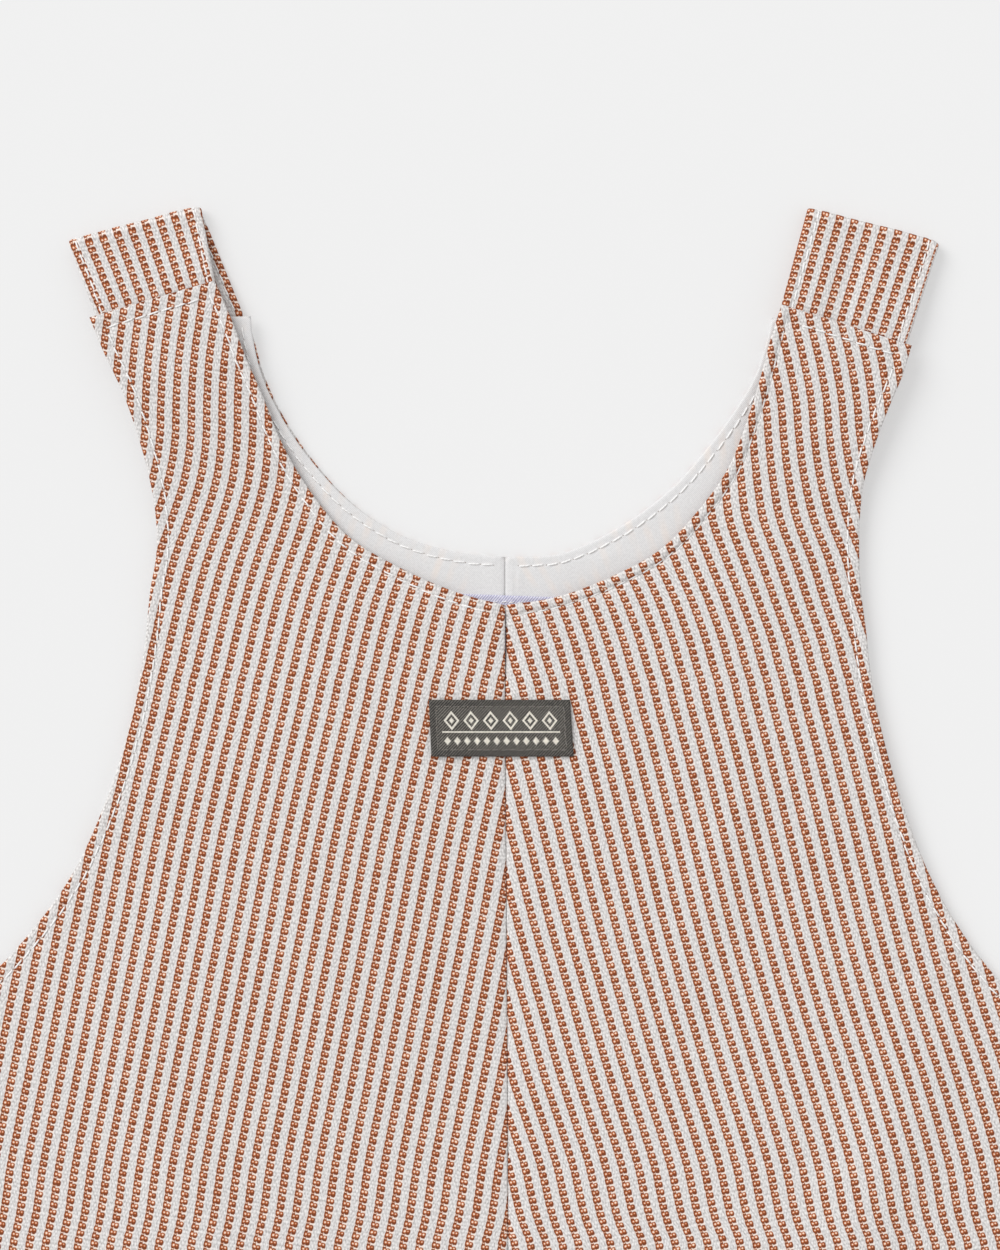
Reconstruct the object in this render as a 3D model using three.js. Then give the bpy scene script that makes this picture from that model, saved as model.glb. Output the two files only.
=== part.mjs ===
// Baby's bib dungarees in striped cotton, laid flat and face up.
//
// Millimetres. +X runs to the wearer's left, +Y towards the shoulders and +Z up from the surface that the
// garment lies on. The tables give "down", the distance below the fold of the straps, because that is how a
// garment is measured. Each table row is one section across a panel, from its inner edge (neckline, centre
// seam or inseam) to its outer edge (armhole, side seam or outseam).

import * as THREE from 'three';

// Driving dimensions.
const GARMENT_LENGTH = 560;
const CLOTH = 1.0; // wall of a single cloth
const STRAP_CLOTH = 1.2; // two layers, sewn flat
const SEAM_GAP = 0.3; // air between two pieces
const FACING_NECK_INSET = 0.4;
const FACING_ARM_INSET = 1.5;

// Heights of the pieces that are stacked at a shoulder, from the surface up.
const FACING_UNDER = CLOTH + SEAM_GAP;
const STRAP_BACK_MID = CLOTH + SEAM_GAP + STRAP_CLOTH / 2;
const FACING_OVER_STRAP = CLOTH + STRAP_CLOTH + 2 * SEAM_GAP;
const STRAP_FRONT_MID = FACING_OVER_STRAP + CLOTH + SEAM_GAP + STRAP_CLOTH / 2;
const FRONT_OVER_STRAP = STRAP_FRONT_MID + STRAP_CLOTH / 2 + SEAM_GAP;

// The strap's fold: its back leg lies on the surface and its front leg lies over it.
const FOLD_BACK_MID = STRAP_CLOTH / 2;
const FOLD_FRONT_MID = 3.4;
const FOLD_RADIUS = (FOLD_FRONT_MID - FOLD_BACK_MID) / 2;
const FOLD_STEPS = 8;

// Sections of the strap's two legs. The front leg's list runs from its seam to the fold and the back leg's from
// the fold to its seam; rise is how much of the climb from the fold's height to the seam's is reached.
const STRAP_FRONT_LEG = [
  { along: 0.15, rise: 1 },
  { along: 0.4, rise: 0.6 },
  { along: 0.7, rise: 0.2 },
];
const STRAP_BACK_LEG = [
  { along: 0.4, rise: 0 },
  { along: 0.7, rise: 0.55 },
  { along: 0.95, rise: 1 },
];

// How finely the walls are divided.
const FRONT_ROW_PITCH = 9;
const BACK_ROW_PITCH = 14;
const FRONT_COLUMNS = 10;
const BACK_COLUMNS = 7;
const FACING_COLUMNS = 6;

// Sides: the wearer's right lies at negative X.
const RIGHT = -1;
const LEFT = 1;

// The front bibs. inZ and outZ are the heights of the underside at the two edges, swell is how far the cloth
// rises between them, and corner names the edge that turns a sharp corner there.
const FRONT_BIB = {
  [RIGHT]: [
    { inX: 72.5, inD: 19.3, inZ: FRONT_OVER_STRAP, outX: 103.7, outD: 28.5, outZ: FRONT_OVER_STRAP, swell: 0.2 },
    { inX: 68.5, inD: 28.3, inZ: FRONT_OVER_STRAP, outX: 100.0, outD: 37.5, outZ: FRONT_OVER_STRAP, swell: 0.2 },
    { inX: 64.7, inD: 38.3, inZ: FRONT_OVER_STRAP, outX: 95.5, outD: 47.0, outZ: FRONT_OVER_STRAP, swell: 0.3 },
    { inX: 60.7, inD: 47.5, inZ: 4.9, outX: 92.3, outD: 56.0, outZ: 4.9, swell: 0.4 },
    { inX: 56.0, inD: 59.2, inZ: 3.9, outX: 89.3, outD: 66.5, outZ: 4.0, swell: 0.5 },
    { inX: 49.2, inD: 71.0, inZ: 3.3, outX: 87.4, outD: 77.0, outZ: 3.3, swell: 0.6 },
    { inX: 39.2, inD: 83.0, inZ: 3.3, outX: 87.1, outD: 87.0, outZ: 3.0, swell: 0.7 },
    { inX: 26.5, inD: 90.8, inZ: 3.5, outX: 88.5, outD: 95.5, outZ: 2.9, swell: 0.8 },
    { inX: 12.3, inD: 97.0, inZ: 3.9, outX: 89.4, outD: 103.5, outZ: 2.9, swell: 0.9 },
    { inX: 0, inD: 100.3, inZ: 3.9, outX: 90.3, outD: 112.0, outZ: 2.9, swell: 0.9, corner: 'in' },
    { inX: 0, inD: 122, inZ: 3.8, outX: 93.5, outD: 129, outZ: 2.9, swell: 1.0 },
    { inX: 0, inD: 146, inZ: 3.2, outX: 99.3, outD: 148, outZ: 2.9, swell: 1.2 },
    { inX: 0, inD: 168, inZ: 2.5, outX: 108.5, outD: 168, outZ: 2.2, swell: 1.4 },
    { inX: 0, inD: 186, inZ: 2.2, outX: 122.0, outD: 186, outZ: 1.8, swell: 1.6 },
    { inX: 0, inD: 200, inZ: 2.0, outX: 136.5, outD: 200, outZ: 1.5, swell: 1.7 },
  ],
  [LEFT]: [
    { inX: 69.0, inD: 25.3, inZ: FRONT_OVER_STRAP, outX: 101.5, outD: 35.5, outZ: FRONT_OVER_STRAP, swell: 0.2 },
    { inX: 66.2, inD: 34.0, inZ: FRONT_OVER_STRAP, outX: 99.2, outD: 43.0, outZ: FRONT_OVER_STRAP, swell: 0.2 },
    { inX: 63.7, inD: 43.5, inZ: FRONT_OVER_STRAP, outX: 95.6, outD: 51.5, outZ: FRONT_OVER_STRAP, swell: 0.3 },
    { inX: 60.8, inD: 53.0, inZ: 4.9, outX: 92.3, outD: 60.5, outZ: 4.9, swell: 0.4 },
    { inX: 56.0, inD: 65.5, inZ: 3.9, outX: 89.6, outD: 70.0, outZ: 4.0, swell: 0.5 },
    { inX: 49.0, inD: 75.7, inZ: 3.3, outX: 88.6, outD: 80.0, outZ: 3.3, swell: 0.6 },
    { inX: 39.0, inD: 86.2, inZ: 3.3, outX: 88.6, outD: 90.0, outZ: 3.0, swell: 0.7 },
    { inX: 26.5, inD: 93.2, inZ: 3.5, outX: 89.2, outD: 98.5, outZ: 2.9, swell: 0.8 },
    { inX: 13.0, inD: 98.2, inZ: 3.9, outX: 90.3, outD: 107.0, outZ: 2.9, swell: 0.9 },
    { inX: 0, inD: 100.3, inZ: 3.9, outX: 91.3, outD: 116.0, outZ: 2.9, swell: 0.9, corner: 'in' },
    { inX: 0, inD: 122, inZ: 3.8, outX: 94.0, outD: 131, outZ: 2.9, swell: 1.0 },
    { inX: 0, inD: 146, inZ: 3.2, outX: 98.8, outD: 148, outZ: 2.9, swell: 1.2 },
    { inX: 0, inD: 168, inZ: 2.5, outX: 106.3, outD: 168, outZ: 2.2, swell: 1.4 },
    { inX: 0, inD: 186, inZ: 2.2, outX: 117.0, outD: 186, outZ: 1.8, swell: 1.6 },
    { inX: 0, inD: 200, inZ: 2.0, outX: 130.0, outD: 200, outZ: 1.5, swell: 1.7 },
  ],
};

// The back bibs lie flat. facingZ is the height of the facing's underside, which rides over the strap's end.
const BACK_BIB = {
  [RIGHT]: [
    { inX: 64.5, inD: 28.1, outX: 100.5, outD: 28.8, facingZ: FACING_OVER_STRAP },
    { inX: 62.9, inD: 33.5, outX: 97.5, outD: 38.0, facingZ: FACING_OVER_STRAP },
    { inX: 60.2, inD: 43.0, outX: 93.0, outD: 48.5, facingZ: FACING_OVER_STRAP },
    { inX: 55.5, inD: 53.0, outX: 89.5, outD: 58.5, facingZ: 2.0 },
    { inX: 48.5, inD: 63.5, outX: 87.0, outD: 70.0, facingZ: FACING_UNDER },
    { inX: 38.8, inD: 74.3, outX: 85.8, outD: 80.0, facingZ: FACING_UNDER },
    { inX: 26.8, inD: 82.5, outX: 86.0, outD: 90.0, facingZ: FACING_UNDER },
    { inX: 13.5, inD: 86.8, outX: 87.0, outD: 98.0, facingZ: FACING_UNDER },
    { inX: 0, inD: 88.5, outX: 88.3, outD: 106.0, facingZ: FACING_UNDER, corner: 'in' },
    { inX: 0, inD: 110, outX: 91.0, outD: 120, facingZ: FACING_UNDER },
    { inX: 0, inD: 135, outX: 96.5, outD: 140, facingZ: FACING_UNDER },
    { inX: 0, inD: 160, outX: 105.0, outD: 162 },
    { inX: 0, inD: 182, outX: 119.0, outD: 184 },
    { inX: 0, inD: 199, outX: 135.0, outD: 199.5 },
  ],
  [LEFT]: [
    { inX: 67.0, inD: 28.5, outX: 101.0, outD: 33.2, facingZ: FACING_OVER_STRAP },
    { inX: 65.8, inD: 34.0, outX: 98.3, outD: 42.0, facingZ: FACING_OVER_STRAP },
    { inX: 62.8, inD: 43.0, outX: 94.3, outD: 50.0, facingZ: FACING_OVER_STRAP },
    { inX: 57.5, inD: 52.0, outX: 91.0, outD: 59.0, facingZ: 2.0 },
    { inX: 50.5, inD: 61.5, outX: 88.3, outD: 69.0, facingZ: FACING_UNDER },
    { inX: 41.5, inD: 71.5, outX: 87.0, outD: 79.0, facingZ: FACING_UNDER },
    { inX: 29.0, inD: 80.7, outX: 87.0, outD: 89.0, facingZ: FACING_UNDER },
    { inX: 14.5, inD: 87.3, outX: 88.3, outD: 98.0, facingZ: FACING_UNDER },
    { inX: 0, inD: 88.5, outX: 89.3, outD: 106.0, facingZ: FACING_UNDER, corner: 'in' },
    { inX: 0, inD: 110, outX: 91.5, outD: 121, facingZ: FACING_UNDER },
    { inX: 0, inD: 135, outX: 95.5, outD: 141, facingZ: FACING_UNDER },
    { inX: 0, inD: 160, outX: 102.5, outD: 163 },
    { inX: 0, inD: 183, outX: 114.0, outD: 184 },
    { inX: 0, inD: 199, outX: 128.5, outD: 199.5 },
  ],
};
const FACING_LAST_ROW = 10;

// Body and legs, from the underarm to the hem, the same for the front and the back of both sides.
const BODY = [
  { inX: 0, inD: 211, inZ: 1.9, outX: 149.0, outD: 211, outZ: 1.3, swell: 1.8, corner: 'out' },
  { inX: 0, inD: 252, inZ: 1.8, outX: 152.3, outD: 252, outZ: 1.3, swell: 2.0 },
  { inX: 0, inD: 318, inZ: 1.6, outX: 155.0, outD: 318, outZ: 1.3, swell: 2.0 },
  { inX: 0, inD: 350, inZ: 1.4, outX: 154.9, outD: 352, outZ: 1.3, swell: 1.9 },
  { inX: 0, inD: 374, inZ: 1.3, outX: 154.3, outD: 382, outZ: 1.3, swell: 1.8, corner: 'in' },
  { inX: 8, inD: 390, inZ: 1.3, outX: 153.4, outD: 400, outZ: 1.3, swell: 1.7 },
  { inX: 14, inD: 424, inZ: 1.3, outX: 151.0, outD: 430, outZ: 1.3, swell: 1.5 },
  { inX: 18, inD: 484, inZ: 1.3, outX: 146.5, outD: 486, outZ: 1.3, swell: 1.3 },
  { inX: 23, inD: GARMENT_LENGTH, inZ: 1.3, outX: 139.0, outD: GARMENT_LENGTH, outZ: 1.3, swell: 1.2 },
];

// The largest soft folds of the front. turn is the angle of the ridge from straight down, in degrees,
// towards the wearer's left. length and width are those of the whole ridge.
const FOLDS = [
  { x: -84, down: 238, turn: 24, length: 120, width: 34, height: 1.1 },
  { x: 92, down: 246, turn: -20, length: 130, width: 36, height: 1.2 },
  { x: 52, down: 170, turn: -14, length: 90, width: 26, height: 0.5 },
  { x: -46, down: 190, turn: 12, length: 100, width: 30, height: 0.5 },
  { x: -70, down: 372, turn: -30, length: 130, width: 40, height: 1.4 },
  { x: 64, down: 384, turn: 32, length: 120, width: 38, height: 1.3 },
  { x: -88, down: 470, turn: 10, length: 110, width: 34, height: 1.1 },
  { x: 84, down: 486, turn: -8, length: 120, width: 32, height: 1.0 },
];

// A strap, from the end hidden under the front, over the fold, to the end hidden in the back.
const STRAP = {
  [RIGHT]: {
    frontEnd: { inX: 70.0, inD: 30.5, outX: 98.7, outD: 38.5 },
    frontSeam: { inX: 72.5, inD: 19.3, outX: 102.5, outD: 27.3 },
    fold: { inX: 76.3, inD: 0.3, outX: 109.2, outD: 9.0 },
    backSeam: { inX: 65.7, inD: 27.0, outX: 98.2, outD: 27.6 },
    backEnd: { inX: 64.6, inD: 38.5, outX: 94.8, outD: 41.0 },
  },
  [LEFT]: {
    frontEnd: { inX: 67.2, inD: 36.0, outX: 96.5, outD: 45.5 },
    frontSeam: { inX: 69.0, inD: 25.3, outX: 100.7, outD: 34.2 },
    fold: { inX: 75.8, inD: 0.8, outX: 108.7, outD: 9.3 },
    backSeam: { inX: 68.6, inD: 27.4, outX: 100.0, outD: 32.0 },
    backEnd: { inX: 67.2, inD: 38.5, outX: 95.5, outD: 42.5 },
  },
};

// Labels: centre, size and lean in degrees, as sewn on.
const FRONT_LABEL = { x: -1, down: 131, width: 35.6, height: 14.2, lean: 0, ditch: 6 };
const NECK_LABEL = { x: 1.5, down: 104.8, width: 30, height: 14.4, lean: 0.6 };
const LABEL_PITCH = 4;
const HALVINGS = 30; // of the search for a place on a panel

// Finishes.
const FINISH = {
  stripe: new THREE.MeshStandardMaterial({ color: '#c7afa3', roughness: 0.92, metalness: 0 }),
  strap: new THREE.MeshStandardMaterial({ color: '#c3a698', roughness: 0.92, metalness: 0 }),
  facing: new THREE.MeshStandardMaterial({ color: '#e6e6e5', roughness: 0.95, metalness: 0 }),
  frontLabel: new THREE.MeshStandardMaterial({ color: '#605d58', roughness: 0.85, metalness: 0 }),
  neckLabel: new THREE.MeshStandardMaterial({ color: '#cccad8', roughness: 0.8, metalness: 0 }),
};

const mix = (a, b, f) => a + (b - a) * f;
const yOf = (down) => GARMENT_LENGTH / 2 - down;

// Smooth curve through one edge of the table rows, sharp at that edge's corners.
function edgeAt(rows, edge, k, f) {
  const last = rows.length - 1;
  const from = rows[k];
  const to = rows[Math.min(k + 1, last)];
  const smooth = (row) => row.corner !== edge;
  const before = k > 0 && smooth(from) ? rows[k - 1] : null;
  const after = k + 2 <= last && smooth(to) ? rows[k + 2] : null;
  const along = (key) => {
    const [a, b] = [from[key], to[key]];
    const leave = before ? (b - before[key]) / 2 : b - a;
    const arrive = after ? (after[key] - a) / 2 : b - a;
    const [f2, f3] = [f * f, f * f * f];
    return (2 * f3 - 3 * f2 + 1) * a + (f3 - 2 * f2 + f) * leave + (3 * f2 - 2 * f3) * b + (f3 - f2) * arrive;
  };
  return { x: along(`${edge}X`), down: along(`${edge}D`) };
}

// One section of a panel at position r along its table: both edges and the heights there.
function sectionAt(rows, r) {
  const k = Math.min(Math.floor(r), rows.length - 2);
  const f = r - k;
  const level = (key) => mix(rows[k][key] ?? 0, rows[k + 1][key] ?? 0, f);
  return {
    inner: edgeAt(rows, 'in', k, f),
    outer: edgeAt(rows, 'out', k, f),
    inZ: level('inZ'),
    outZ: level('outZ'),
    swell: level('swell'),
    facingZ: level('facingZ'),
  };
}

// Positions along a table, with no step longer than pitch on either edge.
function stations(rows, pitch, lastRow = rows.length - 1) {
  const list = [0];
  for (let k = 0; k < lastRow; k++) {
    const [a, b] = [rows[k], rows[k + 1]];
    const inner = Math.hypot(b.inX - a.inX, b.inD - a.inD);
    const outer = Math.hypot(b.outX - a.outX, b.outD - a.outD);
    const steps = Math.ceil(Math.max(inner, outer) / pitch);
    for (let i = 1; i <= steps; i++) list.push(k + i / steps);
  }
  return list;
}

// Height that the soft folds add at a place on the front.
function foldHeight(x, down) {
  let sum = 0;
  for (const fold of FOLDS) {
    const turn = THREE.MathUtils.degToRad(fold.turn);
    const [dx, dd] = [x - fold.x, down - fold.down];
    const along = (dd * Math.cos(turn) + dx * Math.sin(turn)) / (fold.length / 2);
    const across = (dx * Math.cos(turn) - dd * Math.sin(turn)) / (fold.width / 2);
    const reach = Math.hypot(along, across);
    if (reach < 1) sum += fold.height * Math.cos((reach * Math.PI) / 2) ** 2;
  }
  return sum;
}

// Place at fraction t across a section, on one side of the garment, clear of the centre seam.
function acrossSection(section, side, t) {
  const x = mix(section.inner.x, section.outer.x, t);
  return { x: side * Math.max(x, SEAM_GAP / 2), down: mix(section.inner.down, section.outer.down, t) };
}

function frontUnderside(section, side, t) {
  const place = acrossSection(section, side, t);
  const edge = Math.sin(Math.PI * t);
  const z = mix(section.inZ, section.outZ, t) + section.swell * edge + foldHeight(place.x, place.down) * edge;
  return { ...place, z };
}

// A closed wall from a grid of outer and inner points, with rims round its four edges.
function wallGeometry(rowCount, columnCount, topAt, bottomAt) {
  const points = [];
  const faces = [];
  const stride = columnCount + 1;
  const layer = rowCount * stride + stride;
  for (const at of [topAt, bottomAt]) {
    for (let i = 0; i <= rowCount; i++) {
      for (let j = 0; j <= columnCount; j++) points.push(...at(i, j));
    }
  }
  const quad = (a, b, c, d) => faces.push(a, b, c, a, c, d);
  const top = (i, j) => i * stride + j;
  const bottom = (i, j) => layer + top(i, j);
  for (let i = 0; i < rowCount; i++) {
    for (let j = 0; j < columnCount; j++) {
      quad(top(i, j), top(i + 1, j), top(i + 1, j + 1), top(i, j + 1));
      quad(bottom(i, j), bottom(i, j + 1), bottom(i + 1, j + 1), bottom(i + 1, j));
    }
    quad(top(i + 1, 0), top(i, 0), bottom(i, 0), bottom(i + 1, 0));
    quad(top(i, columnCount), top(i + 1, columnCount), bottom(i + 1, columnCount), bottom(i, columnCount));
  }
  for (let j = 0; j < columnCount; j++) {
    quad(top(0, j), top(0, j + 1), bottom(0, j + 1), bottom(0, j));
    quad(top(rowCount, j + 1), top(rowCount, j), bottom(rowCount, j), bottom(rowCount, j + 1));
  }
  return facingOut(points, faces);
}

// Turns every face over where the enclosed volume comes out negative.
function facingOut(points, faces) {
  const corner = (n) => new THREE.Vector3().fromArray(points, 3 * n);
  let volume = 0;
  for (let f = 0; f < faces.length; f += 3) {
    const [a, b, c] = [corner(faces[f]), corner(faces[f + 1]), corner(faces[f + 2])];
    volume += a.dot(b.cross(c)) / 6;
  }
  const index = volume > 0 ? faces : faces.slice().reverse();
  const geometry = new THREE.BufferGeometry();
  geometry.setAttribute('position', new THREE.Float32BufferAttribute(points, 3));
  geometry.setIndex(index);
  geometry.computeVertexNormals();
  return geometry;
}

const point = (x, down, z) => [x, yOf(down), z];

function frontPanel(side) {
  const rows = [...FRONT_BIB[side], ...BODY];
  const along = stations(rows, FRONT_ROW_PITCH);
  const at = (lift) => (i, j) => {
    const place = frontUnderside(sectionAt(rows, along[i]), side, j / FRONT_COLUMNS);
    return point(place.x, place.down, place.z + lift);
  };
  return wallGeometry(along.length - 1, FRONT_COLUMNS, at(CLOTH), at(0));
}

function backPanel(side) {
  const rows = [...BACK_BIB[side], ...BODY];
  const along = stations(rows, BACK_ROW_PITCH);
  const at = (z) => (i, j) => {
    const place = acrossSection(sectionAt(rows, along[i]), side, j / BACK_COLUMNS);
    return point(place.x, place.down, z);
  };
  return wallGeometry(along.length - 1, BACK_COLUMNS, at(CLOTH), at(0));
}

// The facing follows the back panel's sections, a little inside its edges.
function backFacing(side) {
  const rows = BACK_BIB[side];
  const along = stations(rows, BACK_ROW_PITCH, FACING_LAST_ROW);
  const at = (lift) => (i, j) => {
    const section = sectionAt(rows, along[i]);
    const width = Math.hypot(section.outer.x - section.inner.x, section.outer.down - section.inner.down);
    const t = mix(FACING_NECK_INSET / width, 1 - FACING_ARM_INSET / width, j / FACING_COLUMNS);
    const place = acrossSection(section, side, section.inner.x > FACING_NECK_INSET ? t : t * (j > 0));
    return point(place.x, place.down, section.facingZ + lift);
  };
  return wallGeometry(along.length - 1, FACING_COLUMNS, at(CLOTH), at(0));
}

// A strap section between two of its named places, at a height, with the bend's turn in radians.
function strapSection(from, to, f, z, turn = 0) {
  return {
    inner: new THREE.Vector2(mix(from.inX, to.inX, f), mix(from.inD, to.inD, f)),
    outer: new THREE.Vector2(mix(from.outX, to.outX, f), mix(from.outD, to.outD, f)),
    z,
    turn,
  };
}

function strap(side) {
  const { frontEnd, frontSeam, fold, backSeam, backEnd } = STRAP[side];
  const across = new THREE.Vector2(fold.outX - fold.inX, fold.outD - fold.inD).normalize();
  const upward = new THREE.Vector2(across.y, -across.x);
  const reach = FOLD_RADIUS + STRAP_CLOTH / 2;
  const bend = {
    inX: fold.inX - upward.x * reach,
    inD: fold.inD - upward.y * reach,
    outX: fold.outX - upward.x * reach,
    outD: fold.outD - upward.y * reach,
  };
  const foldMid = (FOLD_FRONT_MID + FOLD_BACK_MID) / 2;
  const sections = [
    strapSection(frontEnd, frontSeam, 0, STRAP_FRONT_MID),
    strapSection(frontEnd, frontSeam, 1, STRAP_FRONT_MID),
  ];
  for (const { along, rise } of STRAP_FRONT_LEG) {
    sections.push(strapSection(frontSeam, bend, along, mix(FOLD_FRONT_MID, STRAP_FRONT_MID, rise)));
  }
  const firstBend = sections.length;
  for (let i = 0; i <= FOLD_STEPS; i++) {
    sections.push(strapSection(bend, bend, 0, foldMid, (Math.PI * i) / FOLD_STEPS));
  }
  for (const { along, rise } of STRAP_BACK_LEG) {
    sections.push(strapSection(bend, backSeam, along, mix(FOLD_BACK_MID, STRAP_BACK_MID, rise), Math.PI));
  }
  sections.push(strapSection(backSeam, backEnd, 1, STRAP_BACK_MID, Math.PI));
  const bends = (i) => i >= firstBend && i <= firstBend + FOLD_STEPS;
  const at = (out) => (i, j) => {
    const { inner, outer, z, turn } = sections[i];
    const radius = (bends(i) ? FOLD_RADIUS : 0) + (out * STRAP_CLOTH) / 2;
    const place = inner.clone().lerp(outer, j).addScaledVector(upward, Math.sin(turn) * radius);
    return point(side * place.x, place.y, z + Math.cos(turn) * radius);
  };
  return wallGeometry(sections.length - 1, 1, at(1), at(-1));
}

// Section and fraction across it at a place on a panel.
function placeOnPanel(rows, x, down) {
  let [low, high] = [0, rows.length - 1];
  const fractionAt = (section) => (x - section.inner.x) / (section.outer.x - section.inner.x);
  for (let n = 0; n < HALVINGS; n++) {
    const middle = (low + high) / 2;
    const section = sectionAt(rows, middle);
    const reached = mix(section.inner.down, section.outer.down, fractionAt(section));
    if (reached < down) low = middle;
    else high = middle;
  }
  const section = sectionAt(rows, low);
  return { section, t: THREE.MathUtils.clamp(fractionAt(section), 0, 1) };
}

// A rectangle of cloth over whatever carries it; carrierTop gives the height of that at a place.
function label(size, carrierTop) {
  const columns = Math.ceil(size.width / LABEL_PITCH);
  const rowCount = Math.ceil(size.height / LABEL_PITCH);
  const lean = THREE.MathUtils.degToRad(size.lean);
  const at = (lift) => (i, j) => {
    const across = (j / columns - 0.5) * size.width;
    const along = (i / rowCount - 0.5) * size.height;
    const x = size.x + across * Math.cos(lean) - along * Math.sin(lean);
    const down = size.down + along * Math.cos(lean) + across * Math.sin(lean);
    return point(x, down, carrierTop(x, down) + SEAM_GAP + lift);
  };
  return wallGeometry(rowCount, columns, at(CLOTH), at(0));
}

// The front's upper surface, with the ditch of the centre seam bridged.
function frontTop(x, down) {
  const side = x < 0 ? RIGHT : LEFT;
  const bridged = Math.hypot(x, FRONT_LABEL.ditch);
  const { section, t } = placeOnPanel([...FRONT_BIB[side], ...BODY], bridged, down);
  return frontUnderside(section, side, t).z + CLOTH;
}

const dungarees = new THREE.Group();

function add(name, geometry, material) {
  const mesh = new THREE.Mesh(geometry, material);
  mesh.name = name;
  dungarees.add(mesh);
}

for (const [side, word] of [[RIGHT, 'right'], [LEFT, 'left']]) {
  add(`front_${word}`, frontPanel(side), FINISH.stripe);
  add(`back_${word}`, backPanel(side), FINISH.stripe);
  add(`facing_${word}`, backFacing(side), FINISH.facing);
  add(`strap_${word}`, strap(side), FINISH.strap);
}
add('front_label', label(FRONT_LABEL, frontTop), FINISH.frontLabel);
add('neck_label', label(NECK_LABEL, () => FACING_UNDER + CLOTH), FINISH.neckLabel);

export default dungarees;
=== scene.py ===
"""Baby's bib dungarees in striped cotton, laid flat and face up.

Tables give millimetres, as a maker measures them, and become metres where a mesh is made. "Down" is the
distance below the fold of the straps. Right and left are the wearer's, so right lies at negative X.
"""

import math

import bpy
import numpy as np
from bpy.props import FloatProperty, FloatVectorProperty, PointerProperty
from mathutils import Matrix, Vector
from mathutils.bvhtree import BVHTree
from mathutils.geometry import delaunay_2d_cdt


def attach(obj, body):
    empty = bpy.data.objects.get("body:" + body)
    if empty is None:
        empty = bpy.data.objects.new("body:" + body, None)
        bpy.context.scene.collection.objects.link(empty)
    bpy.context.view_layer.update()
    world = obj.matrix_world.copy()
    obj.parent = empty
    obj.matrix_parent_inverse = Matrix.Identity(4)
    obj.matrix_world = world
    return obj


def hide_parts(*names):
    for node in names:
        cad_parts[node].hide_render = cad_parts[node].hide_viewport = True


bl_info = {
    "name": "Baby's striped dungarees",
    "version": (1, 0, 0),
    "blender": (4, 5, 0),
    "location": "View3D > Sidebar > Dungarees",
    "description": "Sews a pair of striped cotton bib dungarees over their CAD panels",
    "category": "Object",
}

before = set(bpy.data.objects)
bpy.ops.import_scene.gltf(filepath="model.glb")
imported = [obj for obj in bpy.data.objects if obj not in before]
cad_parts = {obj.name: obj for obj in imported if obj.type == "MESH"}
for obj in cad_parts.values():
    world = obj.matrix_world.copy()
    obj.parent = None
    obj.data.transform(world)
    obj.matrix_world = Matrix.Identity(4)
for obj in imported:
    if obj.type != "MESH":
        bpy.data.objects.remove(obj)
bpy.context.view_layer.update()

MM = 0.001
TURN = 2 * math.pi
BODY_NAME = "root"

# Driving dimensions, the same as those of the CAD part.
GARMENT_LENGTH = 560
CLOTH = 1.0
STRAP_CLOTH = 1.2
SEAM_GAP = 0.3
FACING_ARM_INSET = 1.5
FACING_UNDER = CLOTH + SEAM_GAP
STRAP_BACK_MID = CLOTH + SEAM_GAP + STRAP_CLOTH / 2
FACING_OVER_STRAP = CLOTH + STRAP_CLOTH + 2 * SEAM_GAP
STRAP_FRONT_MID = FACING_OVER_STRAP + CLOTH + SEAM_GAP + STRAP_CLOTH / 2
FRONT_OVER_STRAP = STRAP_FRONT_MID + STRAP_CLOTH / 2 + SEAM_GAP
FOLD_BACK_MID = STRAP_CLOTH / 2
FOLD_FRONT_MID = 3.4
FOLD_RADIUS = (FOLD_FRONT_MID - FOLD_BACK_MID) / 2

RIGHT = -1
LEFT = 1
SIDES = ((RIGHT, "right"), (LEFT, "left"))

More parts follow.
